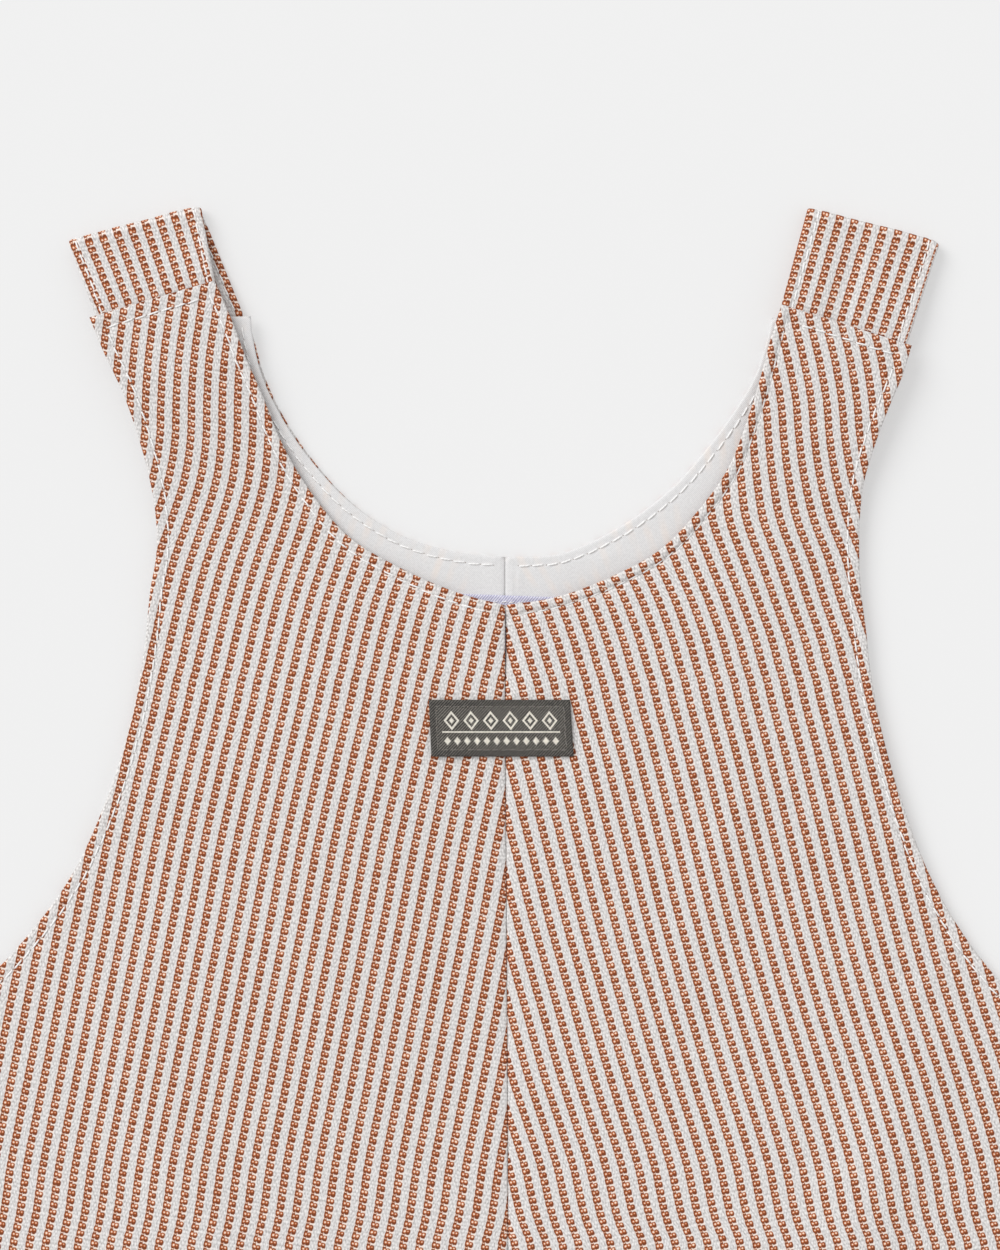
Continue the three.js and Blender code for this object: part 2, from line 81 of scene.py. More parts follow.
# Front bibs, a section a row: inner edge x, down and height of the underside, the same for the outer
# edge, and how far the cloth swells up between them.
FRONT_BIB = {
    RIGHT: [
        (72.5, 19.3, FRONT_OVER_STRAP, 103.7, 28.5, FRONT_OVER_STRAP, 0.2),
        (68.5, 28.3, FRONT_OVER_STRAP, 100.0, 37.5, FRONT_OVER_STRAP, 0.2),
        (64.7, 38.3, FRONT_OVER_STRAP, 95.5, 47.0, FRONT_OVER_STRAP, 0.3),
        (60.7, 47.5, 4.9, 92.3, 56.0, 4.9, 0.4),
        (56.0, 59.2, 3.9, 89.3, 66.5, 4.0, 0.5),
        (49.2, 71.0, 3.3, 87.4, 77.0, 3.3, 0.6),
        (39.2, 83.0, 3.3, 87.1, 87.0, 3.0, 0.7),
        (26.5, 90.8, 3.5, 88.5, 95.5, 2.9, 0.8),
        (12.3, 97.0, 3.9, 89.4, 103.5, 2.9, 0.9),
        (0, 100.3, 3.9, 90.3, 112.0, 2.9, 0.9),
        (0, 122, 3.8, 93.5, 129, 2.9, 1.0),
        (0, 146, 3.2, 99.3, 148, 2.9, 1.2),
        (0, 168, 2.5, 108.5, 168, 2.2, 1.4),
        (0, 186, 2.2, 122.0, 186, 1.8, 1.6),
        (0, 200, 2.0, 136.5, 200, 1.5, 1.7),
    ],
    LEFT: [
        (69.0, 25.3, FRONT_OVER_STRAP, 101.5, 35.5, FRONT_OVER_STRAP, 0.2),
        (66.2, 34.0, FRONT_OVER_STRAP, 99.2, 43.0, FRONT_OVER_STRAP, 0.2),
        (63.7, 43.5, FRONT_OVER_STRAP, 95.6, 51.5, FRONT_OVER_STRAP, 0.3),
        (60.8, 53.0, 4.9, 92.3, 60.5, 4.9, 0.4),
        (56.0, 65.5, 3.9, 89.6, 70.0, 4.0, 0.5),
        (49.0, 75.7, 3.3, 88.6, 80.0, 3.3, 0.6),
        (39.0, 86.2, 3.3, 88.6, 90.0, 3.0, 0.7),
        (26.5, 93.2, 3.5, 89.2, 98.5, 2.9, 0.8),
        (13.0, 98.2, 3.9, 90.3, 107.0, 2.9, 0.9),
        (0, 100.3, 3.9, 91.3, 116.0, 2.9, 0.9),
        (0, 122, 3.8, 94.0, 131, 2.9, 1.0),
        (0, 146, 3.2, 98.8, 148, 2.9, 1.2),
        (0, 168, 2.5, 106.3, 168, 2.2, 1.4),
        (0, 186, 2.2, 117.0, 186, 1.8, 1.6),
        (0, 200, 2.0, 130.0, 200, 1.5, 1.7),
    ],
}
FRONT_NECK_ROW = 9

# Back bibs, which lie flat: inner edge x and down, outer edge x and down, and the height of the facing's
# underside, which rides over the strap's end.
BACK_BIB = {
    RIGHT: [
        (64.5, 28.1, 100.5, 28.8, FACING_OVER_STRAP),
        (62.9, 33.5, 97.5, 38.0, FACING_OVER_STRAP),
        (60.2, 43.0, 93.0, 48.5, FACING_OVER_STRAP),
        (55.5, 53.0, 89.5, 58.5, 2.0),
        (48.5, 63.5, 87.0, 70.0, FACING_UNDER),
        (38.8, 74.3, 85.8, 80.0, FACING_UNDER),
        (26.8, 82.5, 86.0, 90.0, FACING_UNDER),
        (13.5, 86.8, 87.0, 98.0, FACING_UNDER),
        (0, 88.5, 88.3, 106.0, FACING_UNDER),
        (0, 110, 91.0, 120, FACING_UNDER),
        (0, 135, 96.5, 140, FACING_UNDER),
        (0, 160, 105.0, 162, 0),
        (0, 182, 119.0, 184, 0),
        (0, 199, 135.0, 199.5, 0),
    ],
    LEFT: [
        (67.0, 28.5, 101.0, 33.2, FACING_OVER_STRAP),
        (65.8, 34.0, 98.3, 42.0, FACING_OVER_STRAP),
        (62.8, 43.0, 94.3, 50.0, FACING_OVER_STRAP),
        (57.5, 52.0, 91.0, 59.0, 2.0),
        (50.5, 61.5, 88.3, 69.0, FACING_UNDER),
        (41.5, 71.5, 87.0, 79.0, FACING_UNDER),
        (29.0, 80.7, 87.0, 89.0, FACING_UNDER),
        (14.5, 87.3, 88.3, 98.0, FACING_UNDER),
        (0, 88.5, 89.3, 106.0, FACING_UNDER),
        (0, 110, 91.5, 121, FACING_UNDER),
        (0, 135, 95.5, 141, FACING_UNDER),
        (0, 160, 102.5, 163, 0),
        (0, 183, 114.0, 184, 0),
        (0, 199, 128.5, 199.5, 0),
    ],
}
BACK_NECK_ROW = 8
FACING_LAST_ROW = 10

# How far inside the back's neck edge the facing ends, row by row down to the middle of the neckline.
# Below zero it rolls out over that edge and hides it.
FACING_NECK_INSET = {
    RIGHT: (-1.0, 0.1, 0.5, 0.45, 0.4, 0.1, -0.2, -0.25, -0.25),
    LEFT: (-0.3, -0.3, -0.25, -0.25, -0.25, -0.25, -0.25, -0.25, -0.25),
}

# Body and legs from underarm to hem, with the same columns as the front bibs.
BODY = [
    (0, 211, 1.9, 149.0, 211, 1.3, 1.8),
    (0, 252, 1.8, 152.3, 252, 1.3, 2.0),
    (0, 318, 1.6, 155.0, 318, 1.3, 2.0),
    (0, 350, 1.4, 154.9, 352, 1.3, 1.9),
    (0, 374, 1.3, 154.3, 382, 1.3, 1.8),
    (8, 390, 1.3, 153.4, 400, 1.3, 1.7),
    (14, 424, 1.3, 151.0, 430, 1.3, 1.5),
    (18, 484, 1.3, 146.5, 486, 1.3, 1.3),
    (23, GARMENT_LENGTH, 1.3, 139.0, GARMENT_LENGTH, 1.3, 1.2),
]
CROTCH_ROW = 4

# Large soft folds of the front: x, down, turn in degrees, length, width, height.
FOLDS = [
    (-84, 238, 24, 120, 34, 1.1),
    (92, 246, -20, 130, 36, 1.2),
    (52, 170, -14, 90, 26, 0.5),
    (-46, 190, 12, 100, 30, 0.5),
    (-70, 372, -30, 130, 40, 1.4),
    (64, 384, 32, 120, 38, 1.3),
    (-88, 470, 10, 110, 34, 1.1),
    (84, 486, -8, 120, 32, 1.0),
]

# Small hollows and creases pressed into the front, in the same columns; a hollow's height is below zero.
DENTS = [
    (89, 46, 20, 20, 6, -0.35),
    (-88, 52, -16, 24, 7, -0.25),
    (3, 111, -6, 26, 5, -0.3),
    (-62, 70, -32, 46, 8, 0.22),
    (62, 74, 34, 44, 8, 0.22),
    (-80, 112, 6, 60, 9, 0.18),
    (82, 120, -8, 62, 9, 0.2),
    (-30, 128, 20, 60, 12, -0.16),
    (34, 150, -22, 70, 12, -0.16),
    (-104, 190, 38, 60, 10, 0.24),
    (104, 196, -38, 64, 10, 0.24),
]

# Creases of the facing, in the same columns.
FACING_CREASES = [
    (-52, 63, 42, 18, 2.4, 0.35),
    (-49, 65, 44, 14, 2.2, -0.3),
    (-59.5, 47, 26, 16, 2.6, -0.3),
    (-44, 73, 50, 16, 3.0, 0.2),
    (-30, 84, 60, 12, 3.0, -0.2),
    (26, 88, -64, 16, 3.6, 0.2),
    (3.5, 93, 0, 16, 2.2, 0.2),
]

# A strap, side by side: inner x and down, outer x and down, at each named place along it.
STRAP = {
    RIGHT: {
        "front_end": (70.0, 30.5, 98.7, 38.5),
        "front_seam": (72.5, 19.3, 102.5, 27.3),
        "fold": (76.3, 0.3, 109.2, 9.0),
        "back_seam": (65.7, 27.0, 98.2, 27.6),
        "back_end": (64.6, 38.5, 94.8, 41.0),
    },
    LEFT: {
        "front_end": (67.2, 36.0, 96.5, 45.5),
        "front_seam": (69.0, 25.3, 100.7, 34.2),
        "fold": (75.8, 0.8, 108.7, 9.3),
        "back_seam": (68.6, 27.4, 100.0, 32.0),
        "back_end": (67.2, 38.5, 95.5, 42.5),
    },
}

# Stripes on each half: down, x of the twenty-fifth stripe from the centre seam, and their repeat.
STRIPES = {
    RIGHT: [
        (19, 55.6, 3.83), (29, 57.1, 3.83), (39, 58.6, 3.80), (49, 59.05, 3.83), (59, 59.2, 3.86),
        (69, 60.1, 4.00), (79, 62.7, 4.13), (89, 66.1, 4.15), (99, 69, 4.08), (109, 71.45, 4.05),
        (119, 73.95, 4.05), (139, 78.55, 4.05), (159, 83.1, 4.05), (179, 87, 4.05), (199, 91.05, 4.05),
        (219, 95.05, 4.05), (239, 99.05, 4.05), (259, 102.6, 4.05), (320, 111.8, 4.05),
        (560, 145.8, 4.05),
    ],
    LEFT: [
        (19, 43.67, 3.82), (29, 45.32, 3.83), (39, 47.27, 3.88), (49, 49.72, 3.80), (59, 50.47, 3.82),
        (69, 50.97, 3.97), (79, 51.82, 4.22), (89, 55.27, 4.27), (99, 59.02, 4.15), (109, 62.52, 4.13),
        (119, 65.42, 4.11), (139, 70.47, 4.10), (159, 75.47, 4.10), (179, 80.47, 4.10), (199, 86.07, 4.10),
        (219, 92.47, 4.14), (239, 98.37, 4.11), (259, 103.27, 4.07), (320, 117.07, 4.05),
        (560, 158.07, 4.05),
    ],
}
REFERENCE_STRIPE = 25
SQUARE_DOWN = 160
STRIPE_REPEAT = 4.05
STRAP_STRIPE_REPEAT = 3.8

# On each strap: where the first stripe lies from its inner edge, and the repeat of the stripes, at the
# seam with the front and then at the fold.
STRAP_WIDTH = 34.0
STRAP_STRIPES = {RIGHT: (1.6, 3.8, 3.3, 3.7), LEFT: (1.0, 3.7, 0.75, 3.76)}
# How far the stripes step aside behind the fold.
STRAP_BACK_SHIFT = {RIGHT: -2.4, LEFT: 0}
# Rows of a strap from its sewn front end to the front's shoulder edge.
FRONT_SEAM_ROW = 8
# The soft hollow pressed along a strap: from the inner edge, width, depth.
STRAP_HOLLOW = {RIGHT: (15.5, 4.5, 0.45), LEFT: (14.0, 2.6, 0.9)}
# The folded end's corners: reach, and how far the inner and the outer one sink.
CORNER_ROUND = 2.4
CORNER_DROOP = {RIGHT: (0.8, 0.3), LEFT: (0.3, 1.1)}

# The left strap's outer edge rolls under, which squeezes its last stripe into a thin line.
ROLLED_FROM = {RIGHT: 99, LEFT: 33.0}
ROLL = 3.2

FRONT_LABEL = {"x": -1.0, "down": 131.0, "width": 35.4, "height": 14.2, "lean": 0.0, "skew": 0.055}
NECK_LABEL = {"x": 1.5, "down": 105.1, "width": 30.0, "height": 14.4, "lean": 2.0, "skew": 0.0}
# How far from the centre seam the front label starts to bridge its ditch.
LABEL_BRIDGE = 6.0

# Just below the neckline the centre seam gapes a little.
NOTCH = {"down": 109, "reach": 8, "depth": 1.2}

# Sewing, measured from each finished edge.
STITCH_LINE = {"neck": 2.6, "armhole": 2.9, "shoulder": 3.5, "hem": 12.0}
FACING_STITCH_LINE = {"neck": 2.3}
STRAP_STITCH_LINE = {RIGHT: (1.9, 1.8), LEFT: (2.8, 2.4)}
NECK_PULL = {RIGHT: 1.1, LEFT: 1.5}
NECK_WELT = {RIGHT: 0.12, LEFT: 0.5}
FACING_PULL = 0.35
HOLE = 0.85
FACING_HOLE = 0.6
# Height, half width and slope width of the pressed-open seam behind the facing.
FACING_SEAM = {RIGHT: (0.1, 4.0, 1.5), LEFT: (0.16, 2.2, 0.5)}
SEAM_EDGES = ("centre", "side", "inseam")
LABEL_STITCH_LINE = 1.7
LABEL_STITCHES = {"radius": 0.13, "length": 1.3, "pitch": 2.1, "seed": 4}

# How finely the cloth is divided: rings inside each edge, then the open cloth, finer on the bib.
RINGS = (0.07, 0.18, 0.34, 0.55, 1.0, 1.55, 2.1, 2.6, 3.1, 3.7, 4.5)
STRAP_RINGS = (0.07, 0.18, 0.34, 0.55, 1.0, 1.45, 1.8, 2.15, 2.5, 2.8, 3.1, 3.5, 4.3)
STRAP_OPEN = 5.5
BIB_END = 268
EDGE_PITCH = 1.3
LOW_EDGE_PITCH = 2.6
OPEN_PITCH = 2.3
LOW_OPEN_PITCH = 4.2
FACING_PITCH = 1.6
LABEL_EDGE_PITCH = 0.7
LABEL_PITCH = 1.1
EDGE_ROUND = 0.5
HALVINGS = 30
NEAREST_CHUNK = 2000

# The weave, in millimetres. Blocks of rust yarn follow each other along a stripe, BLOCK_PITCH apart.
# Each is two short cords side by side (middle across and along, half width, half length), with a pale
# float in each, and a light thread that links the left cords.
BLOCK_PITCH = 1.87
CORDS = ((-0.5, 0.84, 0.5, 0.8), (0.46, 1.02, 0.58, 0.72))
CORD_POWER = 3.0
FLOAT_PLACES = ((-0.37, 0.82, 0), (0.45, 0.78, 0))
LINK_PLACE = (-0.5, BLOCK_PITCH / 2, 0)
YARN_DRIFT = 0.3
FLOATS_PER_STRIPE = 5
DRAWN_LAWN_THREAD = 0.5
DRAWN_RIB = 0.75
DRAWN_TAPE_RIB = 0.9
SHOW_THROUGH = 0.24

# Front label pattern: rows of lozenges (middle down, pitch, half width, half height, outline's share or
# 0 where they are solid), and plain lines.
LOZENGE_ROWS = (
    (-1.9, 4.9, 1.95, 2.4, 0.15),
    (-1.9, 4.9, 0.6, 0.75, 0),
    (3.2, 2.45, 0.8, 1.0, 0),
)
LABEL_LINES = (0.95,)
LABEL_FIGURE_END = 14.7
LABEL_CLOTH = 0.8

# Corners of a rectangle round its middle, closed.
RECTANGLE = np.array([[-1, -1], [1, -1], [1, 1], [-1, 1], [-1, -1]])

# Where the soft lamp stands: towards the upper left of the picture.
LAMP_FROM = (-0.85, 0.7, 1.0)

# The photographer's camera: straight above the bib, far off with a long lens.
FIELD_LENGTH = 312.5
SENSOR = 36
AIM = (-1.25, 174.75)
PHOTO_PLANE = 3.0
FLOOR_Z = -0.2


def mix(a, b, f):
    return a + (b - a) * f


def smooth(f):
    f = np.clip(f, 0, 1)
    return f * f * (3 - 2 * f)


def curve(values, sharp, r):
    """Smooth curve through a table column at positions r, turned sharply at the rows in sharp."""
    last = len(values) - 1
    k = np.clip(np.floor(r).astype(int), 0, last - 1)
    f = r - k
    a, b = values[k], values[k + 1]
    before = values[np.maximum(k - 1, 0)]
    after = values[np.minimum(k + 2, last)]
    leave = np.where((k > 0) & ~sharp[k], (b - before) / 2, b - a)
    arrive = np.where((k + 2 <= last) & ~sharp[k + 1], (after - a) / 2, b - a)
    f2, f3 = f * f, f * f * f
    departing = (2 * f3 - 3 * f2 + 1) * a + (f3 - 2 * f2 + f) * leave
    return departing + (3 * f2 - 2 * f3) * b + (f3 - f2) * arrive


class Cut:
    """One panel's table, from its shoulder to its hem."""

    def __init__(self, rows, neck_row, underarm_row=None, crotch_row=None):
        table = np.array(rows, float)
        self.in_x, self.in_down, self.in_z, self.out_x, self.out_down, self.out_z, self.swell = table.T
        self.last = len(rows) - 1
        self.neck_row = neck_row
        self.underarm_row = underarm_row
        self.crotch_row = crotch_row
        self.in_sharp = np.isin(np.arange(len(rows)), [n for n in (neck_row, crotch_row) if n is not None])
        self.out_sharp = np.isin(np.arange(len(rows)), [n for n in (underarm_row,) if n is not None])

    def inner(self, r):
        return np.stack([curve(self.in_x, self.in_sharp, r), curve(self.in_down, self.in_sharp, r)], 1)

    def outer(self, r):
        return np.stack([curve(self.out_x, self.out_sharp, r), curve(self.out_down, self.out_sharp, r)], 1)

    def level(self, column, r):
        return np.interp(r, np.arange(self.last + 1), column)

    def locate(self, x, down):
        """Position along the table and fraction across the section for each place on the panel."""
        low, high = np.zeros(len(x)), np.full(len(x), float(self.last))
        for _ in range(HALVINGS):
            middle = (low + high) / 2
            inner, outer = self.inner(middle), self.outer(middle)
            t = (x - inner[:, 0]) / (outer[:, 0] - inner[:, 0])
            above = mix(inner[:, 1], outer[:, 1], t) < down
            low, high = np.where(above, middle, low), np.where(above, high, middle)
        return low, np.clip(t, 0, 1)


def front_cut(side):
    first_body = len(FRONT_BIB[side])
    return Cut(FRONT_BIB[side] + BODY, FRONT_NECK_ROW, first_body, first_body + CROTCH_ROW)


def back_cut(side):
    first_body = len(BACK_BIB[side])
    rows = [(in_x, in_d, 0, out_x, out_d, 0, 0) for in_x, in_d, out_x, out_d, _ in BACK_BIB[side]]
    rows += [(in_x, in_d, 0, out_x, out_d, 0, 0) for in_x, in_d, _, out_x, out_d, _, _ in BODY]
    return Cut(rows, BACK_NECK_ROW, first_body, first_body + CROTCH_ROW)


def facing_cut(side):
    """The back bib's sections, drawn in a little at both ends, with the facing's own height."""
    rows = []
    for n, (in_x, in_d, out_x, out_d, z) in enumerate(BACK_BIB[side][: FACING_LAST_ROW + 1]):
        width = math.hypot(out_x - in_x, out_d - in_d)
        near = FACING_NECK_INSET[side][n] / width if in_x > 0 else 0
        far = 1 - FACING_ARM_INSET / width
        inner = [mix(in_x, out_x, near), mix(in_d, out_d, near), z]
        outer = [mix(in_x, out_x, far), mix(in_d, out_d, far), z]
        rows.append(inner + outer + [0])
    rows[BACK_NECK_ROW][1] += FACING_NECK_INSET[side][BACK_NECK_ROW]
    return Cut(rows, BACK_NECK_ROW)


def ridges(table, x, down):
    """Height that a table of folds adds at each place."""
    total = np.zeros(len(x))
    for fold_x, fold_down, turn, length, width, height in table:
        turn = math.radians(turn)
        dx, dd = x - fold_x, down - fold_down
        along = (dd * math.cos(turn) + dx * math.sin(turn)) / (length / 2)
        across = (dx * math.cos(turn) - dd * math.sin(turn)) / (width / 2)
        reach = np.minimum(np.hypot(along, across), 1)
        total += height * np.cos(reach * math.pi / 2) ** 2
    return total


def rumple(x, down, size, height, seed):
    """Gentle random undulation of laid cloth, size across and up to height high."""
    random = np.random.default_rng(seed)
    total = np.zeros(len(x))
    waves = 9
    for turn, phase, stretch in random.random((waves, 3)):
        length = size * mix(0.6, 1.7, stretch)
        way = x * math.cos(turn * math.pi) + down * math.sin(turn * math.pi)
        total += np.sin(TURN * (way / length + phase))
    return height * total / math.sqrt(waves * 2)


def run_along(steps):
    """Distance from a line's start to each of its points, from the steps between them."""
    return np.concatenate([[0], np.cumsum(steps)])


def resample(points, pitch_at):
    """Points along a line, at the pitch that holds at each place, without its last point."""
    gaps = np.hypot(*np.diff(points, axis=0).T)
    run = run_along(gaps / pitch_at(points[:-1]))
    steps = max(1, int(math.ceil(run[-1])))
    places = np.linspace(0, run[-1], steps + 1)[:-1]
    return np.stack([np.interp(places, run, points[:, 0]), np.interp(places, run, points[:, 1])], 1)


def edge_pitch(points):
    return np.where(points[:, 1] < BIB_END, EDGE_PITCH, LOW_EDGE_PITCH)


def panel_edges(cut):
    """The panel's finished edges in order round it: names, and points that start each."""
    fine = 24
    line = lambda edge, a, b: edge(np.linspace(a, b, abs(b - a) * fine + 1))
    last_inner, last_outer = cut.inner(np.array([float(cut.last)])), cut.outer(np.array([float(cut.last)]))
    top_inner, top_outer = cut.inner(np.array([0.0])), cut.outer(np.array([0.0]))
    straight = lambda a, b: mix(a, b, np.linspace(0, 1, fine + 1)[:, None])
    crotch = cut.crotch_row or cut.last
    underarm = cut.underarm_row or 0
    runs = [("neck", line(cut.inner, 0, cut.neck_row)), ("centre", line(cut.inner, cut.neck_row, crotch))]
    if cut.crotch_row:
        runs.append(("inseam", line(cut.inner, crotch, cut.last)))
    runs.append(("hem", straight(last_inner, last_outer)))
    if cut.underarm_row:
        runs.append(("side", line(cut.outer, cut.last, underarm)))
    runs.append(("armhole", line(cut.outer, underarm or cut.last, 0)))
    runs.append(("shoulder", straight(top_outer, top_inner)))
    return [(name, resample(points, edge_pitch)) for name, points in runs]


def rectangle_edges(width, height, pitch):
    corners = RECTANGLE * (width / 2, height / 2)
    names = ("top", "outer", "bottom", "inner")
    even = lambda points: np.full(len(points), pitch)
    runs = [np.linspace(corners[n], corners[n + 1], 9) for n in range(4)]
    return [(name, resample(points, even)) for name, points in zip(names, runs)]


def nearest(points, start, end):
    """Distance from each point to a run of segments, and how far along them the nearest place is."""
    span = end - start
    length = np.maximum(np.hypot(*span.T), 1e-9)
    begins = run_along(length)[:-1]
    gap, run = np.empty(len(points)), np.empty(len(points))
    for first in range(0, len(points), NEAREST_CHUNK):
        part = points[first : first + NEAREST_CHUNK, None]
        f = np.clip(((part - start) * span).sum(2) / length**2, 0, 1)
        away = part - start - f[..., None] * span
        distance = np.hypot(away[..., 0], away[..., 1])
        best = distance.argmin(1)
        rows = np.arange(len(best))
        gap[first : first + NEAREST_CHUNK] = distance[rows, best]
        run[first : first + NEAREST_CHUNK] = begins[best] + f[rows, best] * length[best]
    return gap, run


def shoelace(points):
    following = np.roll(points, -1, axis=0)
    return (points[:, 0] * following[:, 1] - following[:, 0] * points[:, 1]).sum() / 2


def round_outline(outline):
    """The point that follows each point of a closed outline, and the way inwards there."""
    following, previous = np.roll(outline, -1, axis=0), np.roll(outline, 1, axis=0)
    tangent = following - previous
    tangent /= np.hypot(*tangent.T)[:, None]
    return following, np.stack([-tangent[:, 1], tangent[:, 0]], 1) * np.sign(shoelace(outline))


def inner_points(outline, open_pitch):
    """Rings of points inside the outline, then an even spread over the open cloth."""
    following, inward = round_outline(outline)
    kept = []
    for ring in RINGS:
        points = outline + inward * ring
        gap, _ = nearest(points, outline, following)
        kept.append(points[gap > ring * 0.985])
    low, high = outline.min(0), outline.max(0)
    spread = []
    for top, bottom, pitch in ((low[1], BIB_END, open_pitch), (BIB_END, high[1], LOW_OPEN_PITCH)):
        lines = np.arange(top, min(bottom, high[1]), pitch * math.sqrt(3) / 2)
        for n, down in enumerate(lines):
            x = np.arange(low[0] + pitch * (0.25 + 0.5 * (n % 2)), high[0], pitch)
            spread.append(np.stack([x, np.full(len(x), down)], 1))
    spread = np.concatenate(spread)
    gap, _ = nearest(spread, outline, following)
    rings_end = RINGS[-1] + 0.6 * open_pitch
    spread = spread[(gap > rings_end) & inside(spread, outline)]
    return np.concatenate(kept + [spread])


def inside(points, outline):
    """Which points lie inside a closed outline."""
    result = np.zeros(len(points), bool)
    for (x0, y0), (x1, y1) in zip(outline, np.roll(outline, -1, axis=0)):
        crosses = (y0 > points[:, 1]) != (y1 > points[:, 1])
        slope = (x1 - x0) / ((y1 - y0) or 1)
        result ^= crosses & (points[:, 0] < x0 + (points[:, 1] - y0) * slope)
    return result


def sheet_of_cloth(name, edges, open_pitch, place, thickness=CLOTH, edge_round=EDGE_ROUND):
    """A closed thin shell over an outline.

    place takes the points and their distance to, and run along, each named edge. It gives their position in
    millimetres, Y up, for the middle of the cloth, and the three cloth coordinates that the material reads.
    """
    outline = np.concatenate([points for _, points in edges])
    free = inner_points(outline, open_pitch)
    flat = [Vector(p) for p in np.concatenate([outline, free])]
    rim = len(outline)
    loop = list(range(rim))
    pairs = [(n, (n + 1) % rim) for n in loop]
    verts, _, faces, origin, _, _ = delaunay_2d_cdt(flat, pairs, [loop], 1, 1e-5)
    points = np.array([tuple(v) for v in verts])
    on_rim = np.array([any(n < rim for n in sources) for sources in origin])
    faces = np.array([f for f in faces if len(f) == 3])

    gaps, runs = {}, {}
    first = 0
    for edge, part in edges:
        stretch = np.arange(first, first + len(part))
        first += len(part)
        gap, run = nearest(points, outline[stretch], outline[(stretch + 1) % rim])
        gaps[edge], runs[edge] = gap, run
    gap = np.min(list(gaps.values()), axis=0)
    gap[on_rim] = 0
    middle, cloth = place(points, gaps, runs)
    half = thickness / 2 * np.sqrt(1 - (1 - np.minimum(gap / edge_round, 1)) ** 2)

    # The rim's points are shared by the upper and the lower face of the cloth.
    count = len(points)
    upper, lower = middle.copy(), middle.copy()
    upper[:, 2] += half
    lower[:, 2] -= half
    free_rows = np.flatnonzero(~on_rim)
    below = np.arange(count)
    below[free_rows] = count + np.arange(len(free_rows))
    corner = upper[faces]
    turn = np.cross(corner[:, 1] - corner[:, 0], corner[:, 2] - corner[:, 0])[:, 2] < 0
    faces[turn] = faces[turn][:, ::-1]
    everything = np.concatenate([faces, below[faces][:, ::-1]])
    coordinates = np.concatenate([cloth, cloth[free_rows]])
    obj = mesh_object(name, np.concatenate([upper, lower[free_rows]]), everything.tolist(), coordinates)
    obj["flat_area"] = abs(shoelace(outline)) * MM * MM
    return obj


def mesh_object(name, points, faces, cloth):
    """A smooth mesh from points in millimetres, with the place in the cloth of each."""
    mesh = bpy.data.meshes.new(name)
    mesh.from_pydata((np.asarray(points) * MM).tolist(), [], faces)
    mesh.polygons.foreach_set("use_smooth", np.ones(len(mesh.polygons), bool))
    coordinates = mesh.attributes.new("cloth", "FLOAT_VECTOR", "POINT")
    coordinates.data.foreach_set("vector", np.asarray(cloth, np.float32).ravel())
    mesh.update()
    obj = bpy.data.objects.new(name, mesh)
    bpy.context.scene.collection.objects.link(obj)
    return obj


def stripe_place(side, x, down):
    """Which stripe each place of a panel lies on, counted from the centre seam, and how far along it."""
    table = np.array(STRIPES[side])
    fine = np.linspace(table[0, 0], table[-1, 0], 1200)
    sharp = np.zeros(len(table), bool)
    row = np.interp(fine, table[:, 0], np.arange(len(table)))
    reference, repeat = curve(table[:, 1], sharp, row), curve(table[:, 2], sharp, row)
    stripe = REFERENCE_STRIPE + (x - np.interp(down, fine, reference)) / np.interp(down, fine, repeat)

    # Each stripe's own length, measured from a row where the weft runs square to the stripes.
    numbers = np.arange(-10, 61)
    paths = reference + (numbers[:, None] - REFERENCE_STRIPE) * repeat
    lean = np.gradient(paths, fine, axis=1)
    pieces = np.hypot(1, (lean[:, 1:] + lean[:, :-1]) / 2) * np.diff(fine)
    run = np.concatenate([np.zeros((len(numbers), 1)), np.cumsum(pieces, axis=1)], 1)
    square = int(np.abs(fine - SQUARE_DOWN).argmin())
    slope = np.interp(SQUARE_DOWN, fine, np.gradient(reference, fine))
    start = (numbers - REFERENCE_STRIPE)[:, None] * repeat[square] * slope / math.hypot(1, slope)
    run += start - run[:, square, None]
    i = np.clip(stripe - numbers[0], 0, len(numbers) - 1.001)
    j = np.clip((down - fine[0]) / (fine[1] - fine[0]), 0, len(fine) - 1.001)
    i0, j0 = i.astype(int), j.astype(int)
    above = mix(run[i0, j0], run[i0 + 1, j0], i - i0)
    below = mix(run[i0, j0 + 1], run[i0 + 1, j0 + 1], i - i0)
    return stripe, mix(above, below, j - j0)


def groove(gap, line, width=0.42):
    """The narrow furrow that a row of stitches pulls into the cloth."""
    return np.exp(-(((gap - line) / width) ** 2))


def seam_wander(down):
    """The centre seam strays to the wearer's left as it runs down the bib."""
    return 0.7 * smooth((down - 104) / 150) * (1 - smooth((down - 300) / 60))


def sewn_relief(sizes, stitch_lines, gaps, runs, neck_pull=1.0):
    """What sewing does to the cloth near its edges: stitch furrows, puffed edges and small puckers."""
    relief = 0
    for edge, line in stitch_lines.items():
        gap, run = gaps[edge], runs[edge]
        pull = neck_pull if edge == "neck" else 1.0
        depth, pucker = pull * sizes.stitch_depth / MM, pull * sizes.pucker / MM
        relief = relief - depth * groove(gap, line)
        relief = relief + 0.35 * depth * groove(gap, line * 0.42, line * 0.3)
        beat = np.sin(TURN * run / 5.3 + 2 * np.sin(run / 17))
        beat = beat + 0.6 * np.sin(TURN * run / 8.9 + 1)
        relief = relief + pucker * beat * np.exp(-(((gap - line) / (line * 0.9)) ** 2))
    return relief


def laid(x, down, z):
    """Points on the garment as it lies, from x, the distance below the straps' fold, and height."""
    return np.stack([x, GARMENT_LENGTH / 2 - down, z], 1)


def front_middle(cut, side, x, down, across=None):
    """Height of the middle of the front's cloth; across takes the place of x where a seam is bridged."""
    across = x if across is None else across
    r, t = cut.locate(across, down)
    edge = np.sin(math.pi * t)
    under = mix(cut.level(cut.in_z, r), cut.level(cut.out_z, r), t)
    return under + (cut.level(cut.swell, r) + ridges(FOLDS, side * x, down)) * edge + CLOTH / 2


